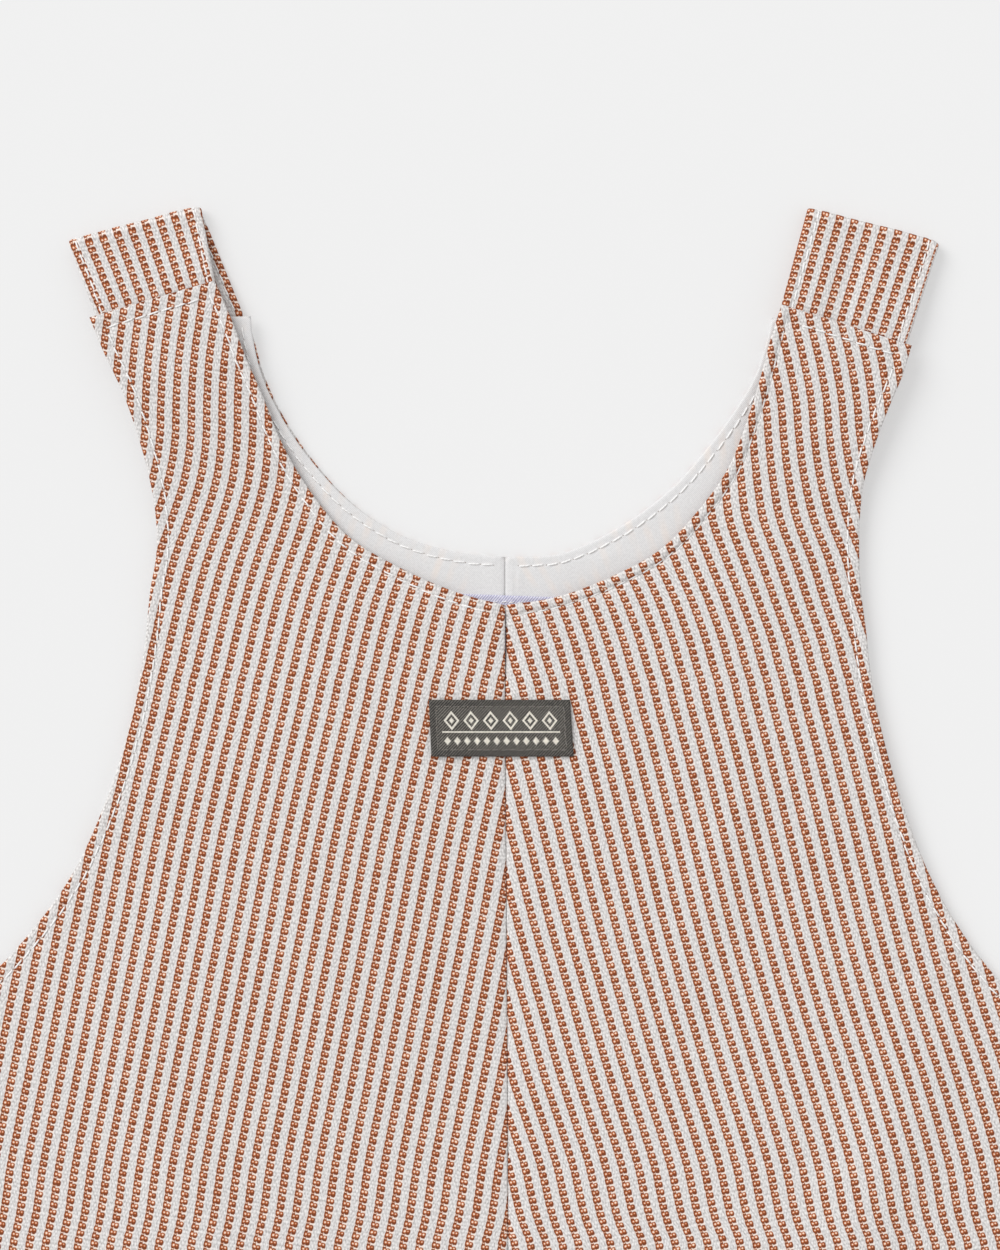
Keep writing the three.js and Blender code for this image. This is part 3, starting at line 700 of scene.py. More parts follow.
def front_panel(side, word, sizes):
    cut = front_cut(side)

    def place(points, gaps, runs):
        x, down = points.T
        z = front_middle(cut, side, x, down)
        z += ridges(DENTS, side * x, down)
        open_cloth = smooth(np.min(list(gaps.values()), axis=0) / 12)
        z += rumple(side * x, down, size=46, height=0.22, seed=3) * mix(0.3, 1, open_cloth)
        z += rumple(side * x, down, size=15, height=0.05, seed=5)
        z += sewn_relief(sizes, STITCH_LINE, gaps, runs, NECK_PULL[side])
        # The neck's turned hem is thicker than the cloth below it.
        z += NECK_WELT[side] * (1 - smooth((gaps["neck"] - 1.9) / 0.8))
        # Turnings under the cloth lift it beside the centre seam, and the seam itself pulls it down.
        z += 0.16 * (1 - smooth((gaps["centre"] - 8) / 2.5)) * smooth(gaps["centre"] / 2)
        notch = np.exp(-(((down - NOTCH["down"]) / NOTCH["reach"]) ** 2))
        if side == LEFT:
            seam = 0.35 * np.exp(-gaps["centre"] / 1.8)
            z -= seam + NOTCH["depth"] * notch * np.exp(-gaps["centre"])
        else:
            z -= 0.1 * np.exp(-gaps["centre"] / 0.9)
        z -= 0.15 * np.exp(-np.minimum(gaps["side"], gaps["inseam"]) / 3)
        stripe, along = stripe_place(side, x, down)
        real_x = side * x + seam_wander(down) * np.exp(-x / 30)
        return (
            laid(real_x, down, z),
            np.stack([side * stripe, along, np.zeros(len(x))], 1),
        )

    return sheet_of_cloth(f"front_{word}_cloth", panel_edges(cut), OPEN_PITCH, place)


def back_panel(side, word, sizes):
    cut = back_cut(side)

    def place(points, gaps, runs):
        x, down = points.T
        seams = np.minimum(gaps["side"], gaps["inseam"])
        z = CLOTH / 2 + 0.12 * np.exp(-seams / 3)
        z = z + 0.25 * sewn_relief(sizes, STITCH_LINE, gaps, runs)
        stripe, along = stripe_place(side, x, down)
        return (
            laid(side * x, down, z),
            np.stack([side * stripe, along, np.zeros(len(x))], 1),
        )

    return sheet_of_cloth(f"back_{word}_cloth", panel_edges(cut), LOW_OPEN_PITCH, place)


def facing_panel(side, word, sizes):
    cut = facing_cut(side)

    def place(points, gaps, runs):
        x, down = points.T
        r, _ = cut.locate(x, down)
        z = cut.level(cut.in_z, r) + CLOTH / 2
        z += sewn_relief(sizes, FACING_STITCH_LINE, gaps, runs, FACING_PULL)
        z += ridges(FACING_CREASES, side * x, down)
        z += rumple(side * x, down, size=21, height=0.14, seed=11) * smooth(gaps["neck"] / 6)
        # The pressed-open seam behind makes two low ridges with the seam line between them.
        lift, half_width, fall = FACING_SEAM[side]
        z += lift * (1 - smooth((gaps["centre"] - half_width) / fall)) * smooth(gaps["centre"] / 1.2)
        z -= 0.06 * np.exp(-gaps["centre"] / 0.6)
        stripe, _ = stripe_place(side, x, down)
        return (
            laid(side * x, down, z),
            np.stack([side * x, down, stripe], 1),
        )

    return sheet_of_cloth(f"facing_{word}_cloth", panel_edges(cut), FACING_PITCH, place)


# Straps: a double strip of cloth, lofted from under the front, over the fold, to under the facing.


def strap_run(side):
    """Sections of the strap's middle layer: its inner and outer ends (x, down), and its height."""
    places = {name: np.array(ends, float) for name, ends in STRAP[side].items()}
    fold = places["fold"]
    across = fold[2:] - fold[:2]
    across /= np.hypot(*across)
    upward = np.array([across[1], -across[0]])
    reach = FOLD_RADIUS + STRAP_CLOTH / 2
    bend = fold - np.tile(upward * reach, 2)
    fold_mid = (FOLD_FRONT_MID + FOLD_BACK_MID) / 2
    sections = []
    for f in np.linspace(0, 1, FRONT_SEAM_ROW + 1)[:-1]:
        sections.append((mix(places["front_end"], places["front_seam"], f), STRAP_FRONT_MID))
    for f in np.linspace(0, 1, 22)[:-1]:
        z = mix(STRAP_FRONT_MID, FOLD_FRONT_MID, smooth((f - 0.08) / 0.85))
        sections.append((mix(places["front_seam"], bend, f), z))
    for turn in np.linspace(0, math.pi, 15):
        push = np.tile(upward * math.sin(turn) * FOLD_RADIUS, 2)
        sections.append((bend + push, fold_mid + math.cos(turn) * FOLD_RADIUS))
    for f in np.linspace(0, 1, 24)[1:-1]:
        z = mix(FOLD_BACK_MID, STRAP_BACK_MID, smooth((f - 0.38) / 0.57))
        sections.append((mix(bend, places["back_seam"], f), z))
    for f in np.linspace(0, 1, 8):
        sections.append((mix(places["back_seam"], places["back_end"], f), STRAP_BACK_MID))
    return np.array([ends for ends, _ in sections]), np.array([z for _, z in sections])


def strap_panel(side, word, sizes):
    """The strap as a closed shell, with rows of points for its stitches."""
    ends, heights = strap_run(side)
    width = np.hypot(*(ends[:, 2:] - ends[:, :2]).T)
    near = np.array((0,) + STRAP_RINGS)
    strap_width = float(width.mean())
    middle_count = 13
    open_cloth = np.linspace(STRAP_OPEN, strap_width - STRAP_OPEN, middle_count)
    offsets = np.concatenate([near, open_cloth, strap_width - near[::-1]])
    share = offsets / strap_width
    flat = ends[:, None, :2] * (1 - share[None, :, None]) + ends[:, None, 2:] * share[None, :, None]
    x, down = flat[..., 0], flat[..., 1]
    rows, columns = x.shape
    crown = 0.18 * np.sin(math.pi * share)[None, :]
    stride = np.hypot(*np.diff(flat[:, columns // 2], axis=0).T)
    run = run_along(np.hypot(stride, np.diff(heights)))
    along, over = np.meshgrid(run, offsets, indexing="ij")
    wave = rumple(over.ravel() * 2.2, along.ravel(), size=24, height=0.1, seed=21 + side).reshape(x.shape)
    # The folded end's two corners are a little rounded.
    to_edge = np.minimum(offsets, strap_width - offsets)
    at_fold = run[int(flat[:, columns // 2, 1].argmin())]
    sag = np.where(offsets < strap_width / 2, *CORNER_DROOP[side])
    droop = sag * np.clip(1 - to_edge / CORNER_ROUND, 0, 1) ** 2 * np.exp(-(((along - at_fold) / 4) ** 2))
    x, down = x - droop * 0.25, down + droop * 0.97
    middle = np.stack([side * x, GARMENT_LENGTH / 2 - down, np.repeat(heights[:, None], columns, 1)], 2)
    tangent = np.gradient(middle, axis=0)
    sideways = np.gradient(middle, axis=1)
    normal = np.cross(sideways, tangent) if side == RIGHT else np.cross(tangent, sideways)
    normal *= -1 if normal[0, columns // 2, 2] < 0 else 1
    normal /= np.linalg.norm(normal, axis=2)[..., None]
    half = STRAP_CLOTH / 2 * np.sqrt(1 - (1 - np.minimum(to_edge / (STRAP_CLOTH / 2), 1)) ** 2)
    half = np.repeat(half[None], rows, 0)
    half[[0, -1]] = 0
    beat = np.sin(TURN * along / 5.1 + over)
    near_line, far_line = STRAP_STITCH_LINE[side][0], strap_width - STRAP_STITCH_LINE[side][1]
    to_line = np.minimum(np.abs(offsets - near_line), np.abs(offsets - far_line))
    furrow = sizes.stitch_depth / MM * groove(to_line, 0)[None]
    pucker = sizes.pucker / MM * beat * np.exp(-((to_line / 2.6) ** 2))[None]
    seated = smooth(np.minimum(np.arange(rows), rows - 1 - np.arange(rows)) / 12)[:, None]
    hollow_at, hollow_width, hollow_depth = STRAP_HOLLOW[side]
    hollow = hollow_depth * np.exp(-(((over - hollow_at) / hollow_width) ** 2))
    hollow = hollow * np.exp(-(((along - 18) / 12) ** 2))
    middle = middle + normal * ((crown + wave + pucker - hollow) * seated)[..., None]
    dip = np.where(half > 0, furrow, 0)
    upper, lower = middle + normal * (half - dip)[..., None], middle - normal * (half - dip)[..., None]

    number = np.arange(rows * columns).reshape(rows, columns)
    shared = half == 0
    below = number.copy()
    below[~shared] = number.size + np.arange((~shared).sum())

    def quad(grid):
        return np.stack([grid[:-1, :-1], grid[1:, :-1], grid[1:, 1:], grid[:-1, 1:]], -1).reshape(-1, 4)

    corner = upper.reshape(-1, 3)[quad(number)]
    turn = np.cross(corner[:, 1] - corner[:, 0], corner[:, 2] - corner[:, 0])
    outward = (turn * normal.reshape(-1, 3)[quad(number)[:, 0]]).sum(1) > 0
    flip = np.median(outward) < 0.5
    over_faces = quad(number)[:, ::-1] if flip else quad(number)
    under_faces = quad(below) if flip else quad(below)[:, ::-1]
    to_fold = np.clip((along - run[FRONT_SEAM_ROW]) / (at_fold - run[FRONT_SEAM_ROW]), 0, 1)
    seam_first, seam_repeat, fold_first, fold_repeat = STRAP_STRIPES[side]
    repeat = mix(seam_repeat, fold_repeat, to_fold)
    reach = over * STRAP_WIDTH / strap_width
    reach += ROLL * np.maximum(reach - ROLLED_FROM[side], 0)
    first_stripe = mix(seam_first, fold_first, to_fold)
    first_stripe = first_stripe + STRAP_BACK_SHIFT[side] * smooth((along - at_fold) / 6)
    stripe = side * (reach - first_stripe) / repeat
    cloth = np.stack([stripe, along, np.zeros_like(along)], 2).reshape(-1, 3)
    points = np.concatenate([upper.reshape(-1, 3), lower[~shared]])
    obj = mesh_object(
        f"strap_{word}_cloth",
        points,
        np.concatenate([over_faces, under_faces]).tolist(),
        np.concatenate([cloth, cloth[(~shared).ravel()]]),
    )
    obj["flat_area"] = float(strap_width * run[-1] * MM * MM)
    obj["flat_length"] = float(run[-1] * MM)
    obj["flat_width"] = strap_width * MM
    lines = []
    for offset in (near_line, far_line):
        column = int(np.abs(offsets - offset).argmin())
        seen = slice(7, rows - 6)
        lines.append((upper[seen, column], normal[seen, column]))
        lines.append((lower[seen, column], -normal[seen, column]))
    return obj, lines


# Labels.


def label_panel(name, size, top_at, thickness):
    """A small sheet of cloth that lies on what carries it, with lines of points for its stitches."""
    lean = math.radians(size["lean"])

    def real(across, along):
        across = across + along * size["skew"] * (1 + 0.35 * across / size["width"])
        x = size["x"] + across * math.cos(lean) - along * math.sin(lean)
        return x, size["down"] + along * math.cos(lean) + across * math.sin(lean)

    def place(points, gaps, runs):
        across, along = points.T
        x, down = real(across, along)
        z = top_at(x, down) + thickness / 2 + 0.1
        gap = np.min(list(gaps.values()), axis=0)
        waves = rumple(across, along, size=11, height=0.06, seed=31)
        z += waves - 0.12 * groove(gap, LABEL_STITCH_LINE, 0.35)
        return laid(x, down, z), np.stack([across, along, gap], 1)

    edges = rectangle_edges(size["width"], size["height"], LABEL_EDGE_PITCH)
    obj = sheet_of_cloth(name, edges, LABEL_PITCH, place, thickness, thickness / 2)
    inset = np.array([size["width"] / 2 - LABEL_STITCH_LINE, size["height"] / 2 - LABEL_STITCH_LINE])
    corners = RECTANGLE * inset
    lines = []
    for a, b in zip(corners[:-1], corners[1:]):
        across, along = mix(a, b, np.linspace(0, 1, 40)[:, None]).T
        x, down = real(across, along)
        lines.append(np.stack([x, GARMENT_LENGTH / 2 - down], 1))
    return obj, lines


def front_top(x, down):
    """The front's upper surface, with the ditch of the centre seam bridged."""
    top = np.zeros(len(x))
    for side, _ in SIDES:
        here = (x < 0) == (side == RIGHT)
        if here.any():
            bridged = np.hypot(x[here], LABEL_BRIDGE)
            middle = front_middle(front_cut(side), side, np.abs(x[here]), down[here], bridged)
            top[here] = middle + CLOTH / 2
    return top + 0.12


# Stitches.


def stitch_path(edges, wanted, line):
    """Points of the sewing line that runs inside one named edge of a panel."""
    outline = np.concatenate([points for _, points in edges])
    following, inward = round_outline(outline)
    first = 0
    for edge, part in edges:
        if edge == wanted:
            stretch = slice(first, first + len(part))
        first += len(part)
    points = (outline + inward * line)[stretch]
    names = np.concatenate([[edge] * len(part) for edge, part in edges])
    open_edge = ~np.isin(names, SEAM_EDGES)
    gap, _ = nearest(points, outline[open_edge], following[open_edge])
    return points[gap > line * 0.97]


def lay_on(obj, flat, from_above=True):
    """The surface points of a piece above or below flat points, in millimetres, and which way they face."""
    mesh = obj.data
    tree = BVHTree.FromPolygons([v.co for v in mesh.vertices], [p.vertices for p in mesh.polygons])
    way = -1 if from_above else 1
    points = []
    for x, y in flat:
        hit = tree.ray_cast(Vector((x * MM, y * MM, -way * 0.1)), Vector((0, 0, way)))[0]
        if hit is not None:
            points.append(hit / MM)
    normals = np.tile([0.0, 0.0, -way], (len(points), 1))
    return np.array(points, float), normals


def stitches(name, lines, radius, length, pitch, seed=1, hole=HOLE):
    """Rows of thread loops along lines of surface points. Each dips into the cloth at its needle holes."""
    random = np.random.default_rng(seed)
    rings, corners = 9, 8
    along = np.linspace(0, 1, rings)
    rise = radius * 0.8 - (radius * 1.9) * np.abs(2 * along - 1) ** 5
    taper = 1 - 0.3 * np.abs(2 * along - 1) ** 6
    verts, faces, cloth, holes = [], [], [], []
    count = 0
    for points, normals in lines:
        if len(points) < 2:
            continue
        run = run_along(np.linalg.norm(np.diff(points, axis=0), axis=1))
        place = lambda s, table: np.stack([np.interp(s, run, table[:, n]) for n in range(3)], -1)
        total = int((run[-1] - length) // pitch) + 1
        for n in range(total):
            start = n * pitch + 0.12 * random.standard_normal()
            s = start + along * length * random.uniform(0.94, 1.04)
            up = place(s, normals)
            centre = place(s, points) + up * rise[:, None]
            tangent = np.gradient(centre, axis=0)
            tangent /= np.linalg.norm(tangent, axis=1)[:, None]
            sideways = np.cross(up, tangent)
            sideways /= np.linalg.norm(sideways, axis=1)[:, None]
            centre = centre + sideways * ((along - 0.5) * 0.2 + 0.05 * random.standard_normal())[:, None]
            lift = np.cross(tangent, sideways)
            angle = np.linspace(0, TURN, corners, endpoint=False)
            ring = sideways[:, None] * np.cos(angle)[None, :, None]
            ring = ring + lift[:, None] * np.sin(angle)[None, :, None]
            tube = centre[:, None] + ring * (radius * taper)[:, None, None]
            verts.append(tube.reshape(-1, 3))
            turns = np.repeat((angle / TURN)[None], rings, 0)
            places = np.repeat(s[:, None], corners, 1)
            cloth.append(np.stack([places, turns, np.full_like(turns, n % 7)], 2).reshape(-1, 3))
            for i in range(rings - 1):
                for j in range(corners):
                    a, b = count + i * corners + j, count + i * corners + (j + 1) % corners
                    faces.append((a, b, b + corners, a + corners))
            faces.append(tuple(range(count + corners - 1, count - 1, -1)))
            faces.append(tuple(range(count + (rings - 1) * corners, count + rings * corners)))
            count += rings * corners
            holes.append((place(s[-1:] + (pitch - length) * 0.25, points)[0], up[-1]))
    # Needle holes: small flat discs of painted shade between one stitch and the next, which stand for the
    # shade in each hole.
    first_hole = len(faces)
    for centre, up in holes:
        ring = np.linspace(0, TURN, 7)[:-1]
        a = np.cross(up, (0.3, 0.9, 0.1))
        a /= np.linalg.norm(a)
        b = np.cross(up, a)
        disc = centre + up * 0.03 + radius * hole * (np.cos(ring)[:, None] * a + np.sin(ring)[:, None] * b)
        verts.append(disc)
        cloth.append(np.zeros((6, 3)))
        faces.append(tuple(range(count, count + 6)))
        count += 6
    obj = mesh_object(name, np.concatenate(verts), faces, np.concatenate(cloth))
    index = np.zeros(len(faces), np.int32)
    index[first_hole:] = 1
    obj.data.polygons.foreach_set("material_index", index)
    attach(obj, BODY_NAME)
    return obj


def panel_stitches(name, obj, cut, side, stitch_lines, sizes, from_above=True, wander=False, hole=HOLE):
    edges = panel_edges(cut)
    lines = []
    for edge, line in stitch_lines.items():
        flat = stitch_path(edges, edge, line)
        x = side * flat[:, 0]
        if wander:
            x = x + seam_wander(flat[:, 1]) * np.exp(-flat[:, 0] / 30)
        lines.append(lay_on(obj, np.stack([x, GARMENT_LENGTH / 2 - flat[:, 1]], 1), from_above))
    radius, length, pitch = sizes.thread / MM / 2, sizes.stitch_length / MM, sizes.stitch_pitch / MM
    return stitches(name, lines, radius, length, pitch, hole=hole)


# Materials.

MATH, VECTOR_MATH = "ShaderNodeMath", "ShaderNodeVectorMath"
COMBINE, SEPARATE = "ShaderNodeCombineXYZ", "ShaderNodeSeparateXYZ"
RANGE, MIX = "ShaderNodeMapRange", "ShaderNodeMix"
NOISE, BUMP = "ShaderNodeTexNoise", "ShaderNodeBump"
SOFT = {"interpolation_type": "SMOOTHSTEP"}


def linear(colour):
    """Linear red, green and blue of an sRGB hex colour."""
    parts = [int(colour[n : n + 2], 16) / 255 for n in (1, 3, 5)]
    return tuple(c / 12.92 if c <= 0.04045 else ((c + 0.055) / 1.055) ** 2.4 for c in parts)


def add(tree, kind, inputs=None, **settings):
    """Adds a node with its settings. An input is a number, a colour, a socket, or a node for its result."""
    made = tree.nodes.new(kind)
    for name, value in settings.items():
        setattr(made, name, value)
    for key, value in (inputs or {}).items():
        if isinstance(value, bpy.types.Node):
            value = next(output for output in value.outputs if output.enabled)
        if isinstance(value, bpy.types.NodeSocket):
            tree.links.new(value, made.inputs[key])
        elif made.inputs[key].type == "RGBA":
            made.inputs[key].default_value = (*value[:3], 1)
        else:
            made.inputs[key].default_value = value
    return made


def new_material(name):
    material = bpy.data.materials.new(name)
    material.use_nodes = True
    tree = material.node_tree
    place = add(tree, "ShaderNodeAttribute", attribute_name="cloth")
    parts = add(tree, SEPARATE, {0: place.outputs["Vector"]})
    return material, tree, tree.nodes["Principled BSDF"], parts.outputs


def link_surface(tree, shader, colour, bump=None):
    """Gives the shader its mixed colour, and its relief if it has one."""
    tree.links.new(colour.outputs[2], shader.inputs["Base Color"])
    if bump:
        tree.links.new(bump.outputs[0], shader.inputs["Normal"])


def striped_cotton(colours, sizes, name, repeat):
    """Cotton shirting with a dobby stripe: white plain weave, and cords of rust yarn in small blocks.

    Dry and matt, with a little fuzz at grazing angles, and each block of rust stands slightly proud.
    """
    material, tree, shader, place = new_material(name)
    wide = add(tree, MATH, {0: place[0], 1: repeat}, operation="MULTIPLY")
    drift_place = add(tree, COMBINE, {0: wide, 1: place[1]})
    # Yarns are never quite even: they drift by a tenth of a millimetre.
    drift = add(tree, NOISE, {"Vector": drift_place, "Scale": 0.45, "Detail": 2.0})
    drift_parts = add(tree, SEPARATE, {0: drift.outputs["Color"]})
    drift_x = add(tree, MATH, {0: drift_parts.outputs[0], 1: 0.5}, operation="SUBTRACT")
    drift_y = add(tree, MATH, {0: drift_parts.outputs[1], 1: 0.5}, operation="SUBTRACT")
    stripe = add(tree, MATH, {0: drift_x, 1: YARN_DRIFT / repeat, 2: place[0]}, operation="MULTIPLY_ADD")
    along = add(tree, MATH, {0: drift_y, 1: YARN_DRIFT * 2, 2: place[1]}, operation="MULTIPLY_ADD")

    # Place within one block of rust yarn: u across the stripe from its middle, v along it from the
    # block's start.
    centred = add(tree, MATH, {0: stripe, 1: 0.5}, operation="ADD")
    turn = add(tree, MATH, {0: centred}, operation="FRACT")
    u = add(tree, MATH, {0: turn, 1: repeat, 2: -repeat / 2}, operation="MULTIPLY_ADD")
    row = add(tree, MATH, {0: along, 1: BLOCK_PITCH}, operation="DIVIDE")
    step = add(tree, MATH, {0: row}, operation="FRACT")
    v = add(tree, MATH, {0: step, 1: BLOCK_PITCH}, operation="MULTIPLY")
    fibre = add(tree, NOISE, {"Vector": drift_place, "Scale": 3.2, "Detail": 1.0})
    rust = None
    for middle_u, middle_v, half_u, half_v in CORDS:
        powers = []
        for place_in, middle, half in ((u, middle_u, half_u), (v, middle_v, half_v)):
            away = add(tree, MATH, {0: place_in, 1: middle}, operation="SUBTRACT")
            away = add(tree, MATH, {0: away}, operation="ABSOLUTE")
            share = add(tree, MATH, {0: away, 1: half}, operation="DIVIDE")
            powers.append(add(tree, MATH, {0: share, 1: CORD_POWER}, operation="POWER"))
        reach = add(tree, MATH, {0: powers[0], 1: powers[1]}, operation="ADD")
        reach = add(tree, MATH, {0: fibre, 1: 1.2, 2: reach}, operation="MULTIPLY_ADD")
        cord = add(tree, RANGE, {0: reach, 1: 2.3, 2: 1.2}, **SOFT)
        rust = cord if rust is None else add(tree, MATH, {0: rust, 1: cord}, operation="MAXIMUM")
    here = add(tree, COMBINE, {0: u, 1: v})
    from_middle = add(tree, MATH, {0: v, 1: BLOCK_PITCH / 2}, operation="SUBTRACT")
    from_middle = add(tree, MATH, {0: from_middle}, operation="ABSOLUTE")
    mirrored = add(tree, COMBINE, {0: u, 1: from_middle})
    to_link = add(tree, VECTOR_MATH, {0: mirrored, 1: LINK_PLACE}, operation="DISTANCE")
    link = add(tree, RANGE, {0: to_link, 1: 0.5, 2: 0.3}, **SOFT)
    to_first = add(tree, VECTOR_MATH, {0: here, 1: FLOAT_PLACES[0]}, operation="DISTANCE")
    to_second = add(tree, VECTOR_MATH, {0: here, 1: FLOAT_PLACES[1]}, operation="DISTANCE")

    # Each block takes the dye a little differently.
    stripe_number = add(tree, MATH, {0: centred}, operation="FLOOR")
    row_number = add(tree, MATH, {0: row}, operation="FLOOR")
    block = add(tree, COMBINE, {0: stripe_number, 1: row_number})
    chance = add(tree, "ShaderNodeTexWhiteNoise", {"Vector": block}, noise_dimensions="2D")
    chances = add(tree, SEPARATE, {0: chance.outputs["Color"]}).outputs
    to_first = add(tree, MATH, {0: chances[0], 1: 0.1, 2: to_first}, operation="MULTIPLY_ADD")
    to_second = add(tree, MATH, {0: chances[1], 1: 0.2, 2: to_second}, operation="MULTIPLY_ADD")
    to_knot = add(tree, MATH, {0: chances[2], 1: 0.16, 2: to_link}, operation="MULTIPLY_ADD")
    knot = add(tree, RANGE, {0: to_knot, 1: 0.33, 2: 0.12}, **SOFT)
    to_float = add(tree, MATH, {0: to_first, 1: to_second}, operation="MINIMUM")
    near_float = add(tree, RANGE, {0: to_float, 1: 0.36, 2: 0.17}, **SOFT)
    far_off = add(tree, RANGE, {0: to_float, 1: 0.36, 2: 0.62}, **SOFT)
    yarn = add(tree, MIX, {0: far_off, 6: colours.stripe, 7: colours.stripe_shade}, data_type="RGBA")
    yarn = add(tree, MIX, {0: near_float, 6: yarn, 7: colours.stripe_light}, data_type="RGBA")

    # White plain weave. Real threads are a third of a millimetre apart, too fine to show, so each drawn
    # float stands for a few: bright ones in rows half a block apart, every second row shifted by half a
    # repeat.
    turn_v = add(tree, MATH, {0: along, 1: TURN / BLOCK_PITCH}, operation="MULTIPLY")
    half_turn = add(tree, MATH, {0: turn_v, 1: 2.0, 2: -5.4}, operation="MULTIPLY_ADD")
    turn_u = add(tree, MATH, {0: stripe, 1: TURN * FLOATS_PER_STRIPE, 2: -1.94}, operation="MULTIPLY_ADD")
    rows = add(tree, MATH, {0: half_turn}, operation="COSINE")
    across = add(tree, MATH, {0: turn_u}, operation="COSINE")
    every_second = add(tree, MATH, {0: turn_v, 1: -5.88}, operation="ADD")
    every_second = add(tree, MATH, {0: every_second}, operation="COSINE")
    checks = add(tree, MATH, {0: across, 1: every_second}, operation="MULTIPLY")
    weave = add(tree, MATH, {0: rows, 1: 0.6, 2: checks}, operation="MULTIPLY_ADD")
    # Slubs: yarns a little thicker or thinner for a millimetre or so of their length.
    slub_v = add(tree, MATH, {0: place[1], 1: 0.45}, operation="MULTIPLY")
    slub_place = add(tree, COMBINE, {0: wide, 1: slub_v})
    slub = add(tree, NOISE, {"Vector": slub_place, "Scale": 2.6, "Detail": 2.0})
    weave = add(tree, MATH, {0: weave, 1: 0.1, 2: slub}, operation="MULTIPLY_ADD")
    shade = add(tree, RANGE, {0: weave, 1: 0.24, 2: 0.7})
    white = add(tree, MIX, {0: shade, 6: colours.cotton_shade, 7: colours.cotton}, data_type="RGBA")
    from_stripe = add(tree, MATH, {0: u}, operation="ABSOLUTE")
    gap = add(tree, RANGE, {0: from_stripe, 1: 1.2, 2: 0.9, 4: 0.8}, **SOFT)
    white = add(tree, MIX, {0: gap, 6: white, 7: colours.cream}, data_type="RGBA")
    linked = add(tree, MIX, {0: knot, 6: colours.stripe_link, 7: colours.cream}, data_type="RGBA")
    ground = add(tree, MIX, {0: link, 6: white, 7: linked}, data_type="RGBA")
    colour = add(tree, MIX, {0: rust, 6: ground, 7: yarn}, data_type="RGBA")

    proud = add(tree, MATH, {0: to_float, 1: -0.8, 2: 0.7}, operation="MULTIPLY_ADD")
    proud = add(tree, MATH, {0: proud, 1: rust}, operation="MULTIPLY")
    relief = add(tree, MATH, {0: weave, 1: 0.8, 2: proud}, operation="MULTIPLY_ADD")
    bump = add(tree, BUMP, {"Height": relief, "Distance": sizes.weave_relief, "Strength": 0.7})
    link_surface(tree, shader, colour, bump)
    matt_cotton(shader)
    return material


def matt_cotton(shader):
    """Cotton yarn: no gloss to speak of, and a soft fuzz that lightens its edges."""
    shader.inputs["Roughness"].default_value = 0.9
    shader.inputs["IOR"].default_value = 1.5
    shader.inputs["Specular IOR Level"].default_value = 0.2
    shader.inputs["Sheen Weight"].default_value = 0.12
    shader.inputs["Sheen Roughness"].default_value = 0.5


def facing_cotton(colours, sizes, name):
    """White cotton lawn, plain woven and thin, so the stripes behind it tint it very faintly."""
    material, tree, shader, place = new_material(name)
    flat = add(tree, COMBINE, {0: place[0], 1: place[1]})
    # Real threads are a quarter of a millimetre apart, drawn here at twice that to show.
    thread_u = add(tree, MATH, {0: place[0], 1: TURN / DRAWN_LAWN_THREAD}, operation="MULTIPLY")
    thread_v = add(tree, MATH, {0: place[1], 1: TURN / DRAWN_LAWN_THREAD}, operation="MULTIPLY")
    wave_u = add(tree, MATH, {0: thread_u}, operation="SINE")
    wave_v = add(tree, MATH, {0: thread_v}, operation="SINE")
    weave = add(tree, MATH, {0: wave_u, 1: wave_v}, operation="MULTIPLY")
    slub = add(tree, NOISE, {"Vector": flat, "Scale": 1.6, "Detail": 3.0})
    height = add(tree, MATH, {0: weave, 1: 0.3, 2: slub}, operation="MULTIPLY_ADD")
    shade = add(tree, RANGE, {0: height, 1: 0.1, 2: 0.9})
    white = add(tree, MIX, {0: shade, 6: colours.lawn_shade, 7: colours.lawn}, data_type="RGBA")
    angle = add(tree, MATH, {0: place[2], 1: TURN}, operation="MULTIPLY")
    behind = add(tree, MATH, {0: angle}, operation="COSINE")
    cloud = add(tree, NOISE, {"Vector": flat, "Scale": 0.09, "Detail": 2.0})
    touching = add(tree, RANGE, {0: cloud, 1: 0.45, 2: 0.7, 4: SHOW_THROUGH})
    seen = add(tree, RANGE, {0: behind, 1: -0.4, 2: 0.9})
    tint = add(tree, MATH, {0: touching, 1: seen}, operation="MULTIPLY")
    colour = add(tree, MIX, {0: tint, 6: white, 7: colours.stripe_light}, data_type="RGBA")
    bump = add(tree, BUMP, {"Height": height, "Distance": sizes.weave_relief * 0.7, "Strength": 0.5})
    link_surface(tree, shader, colour, bump)
    matt_cotton(shader)
    return material


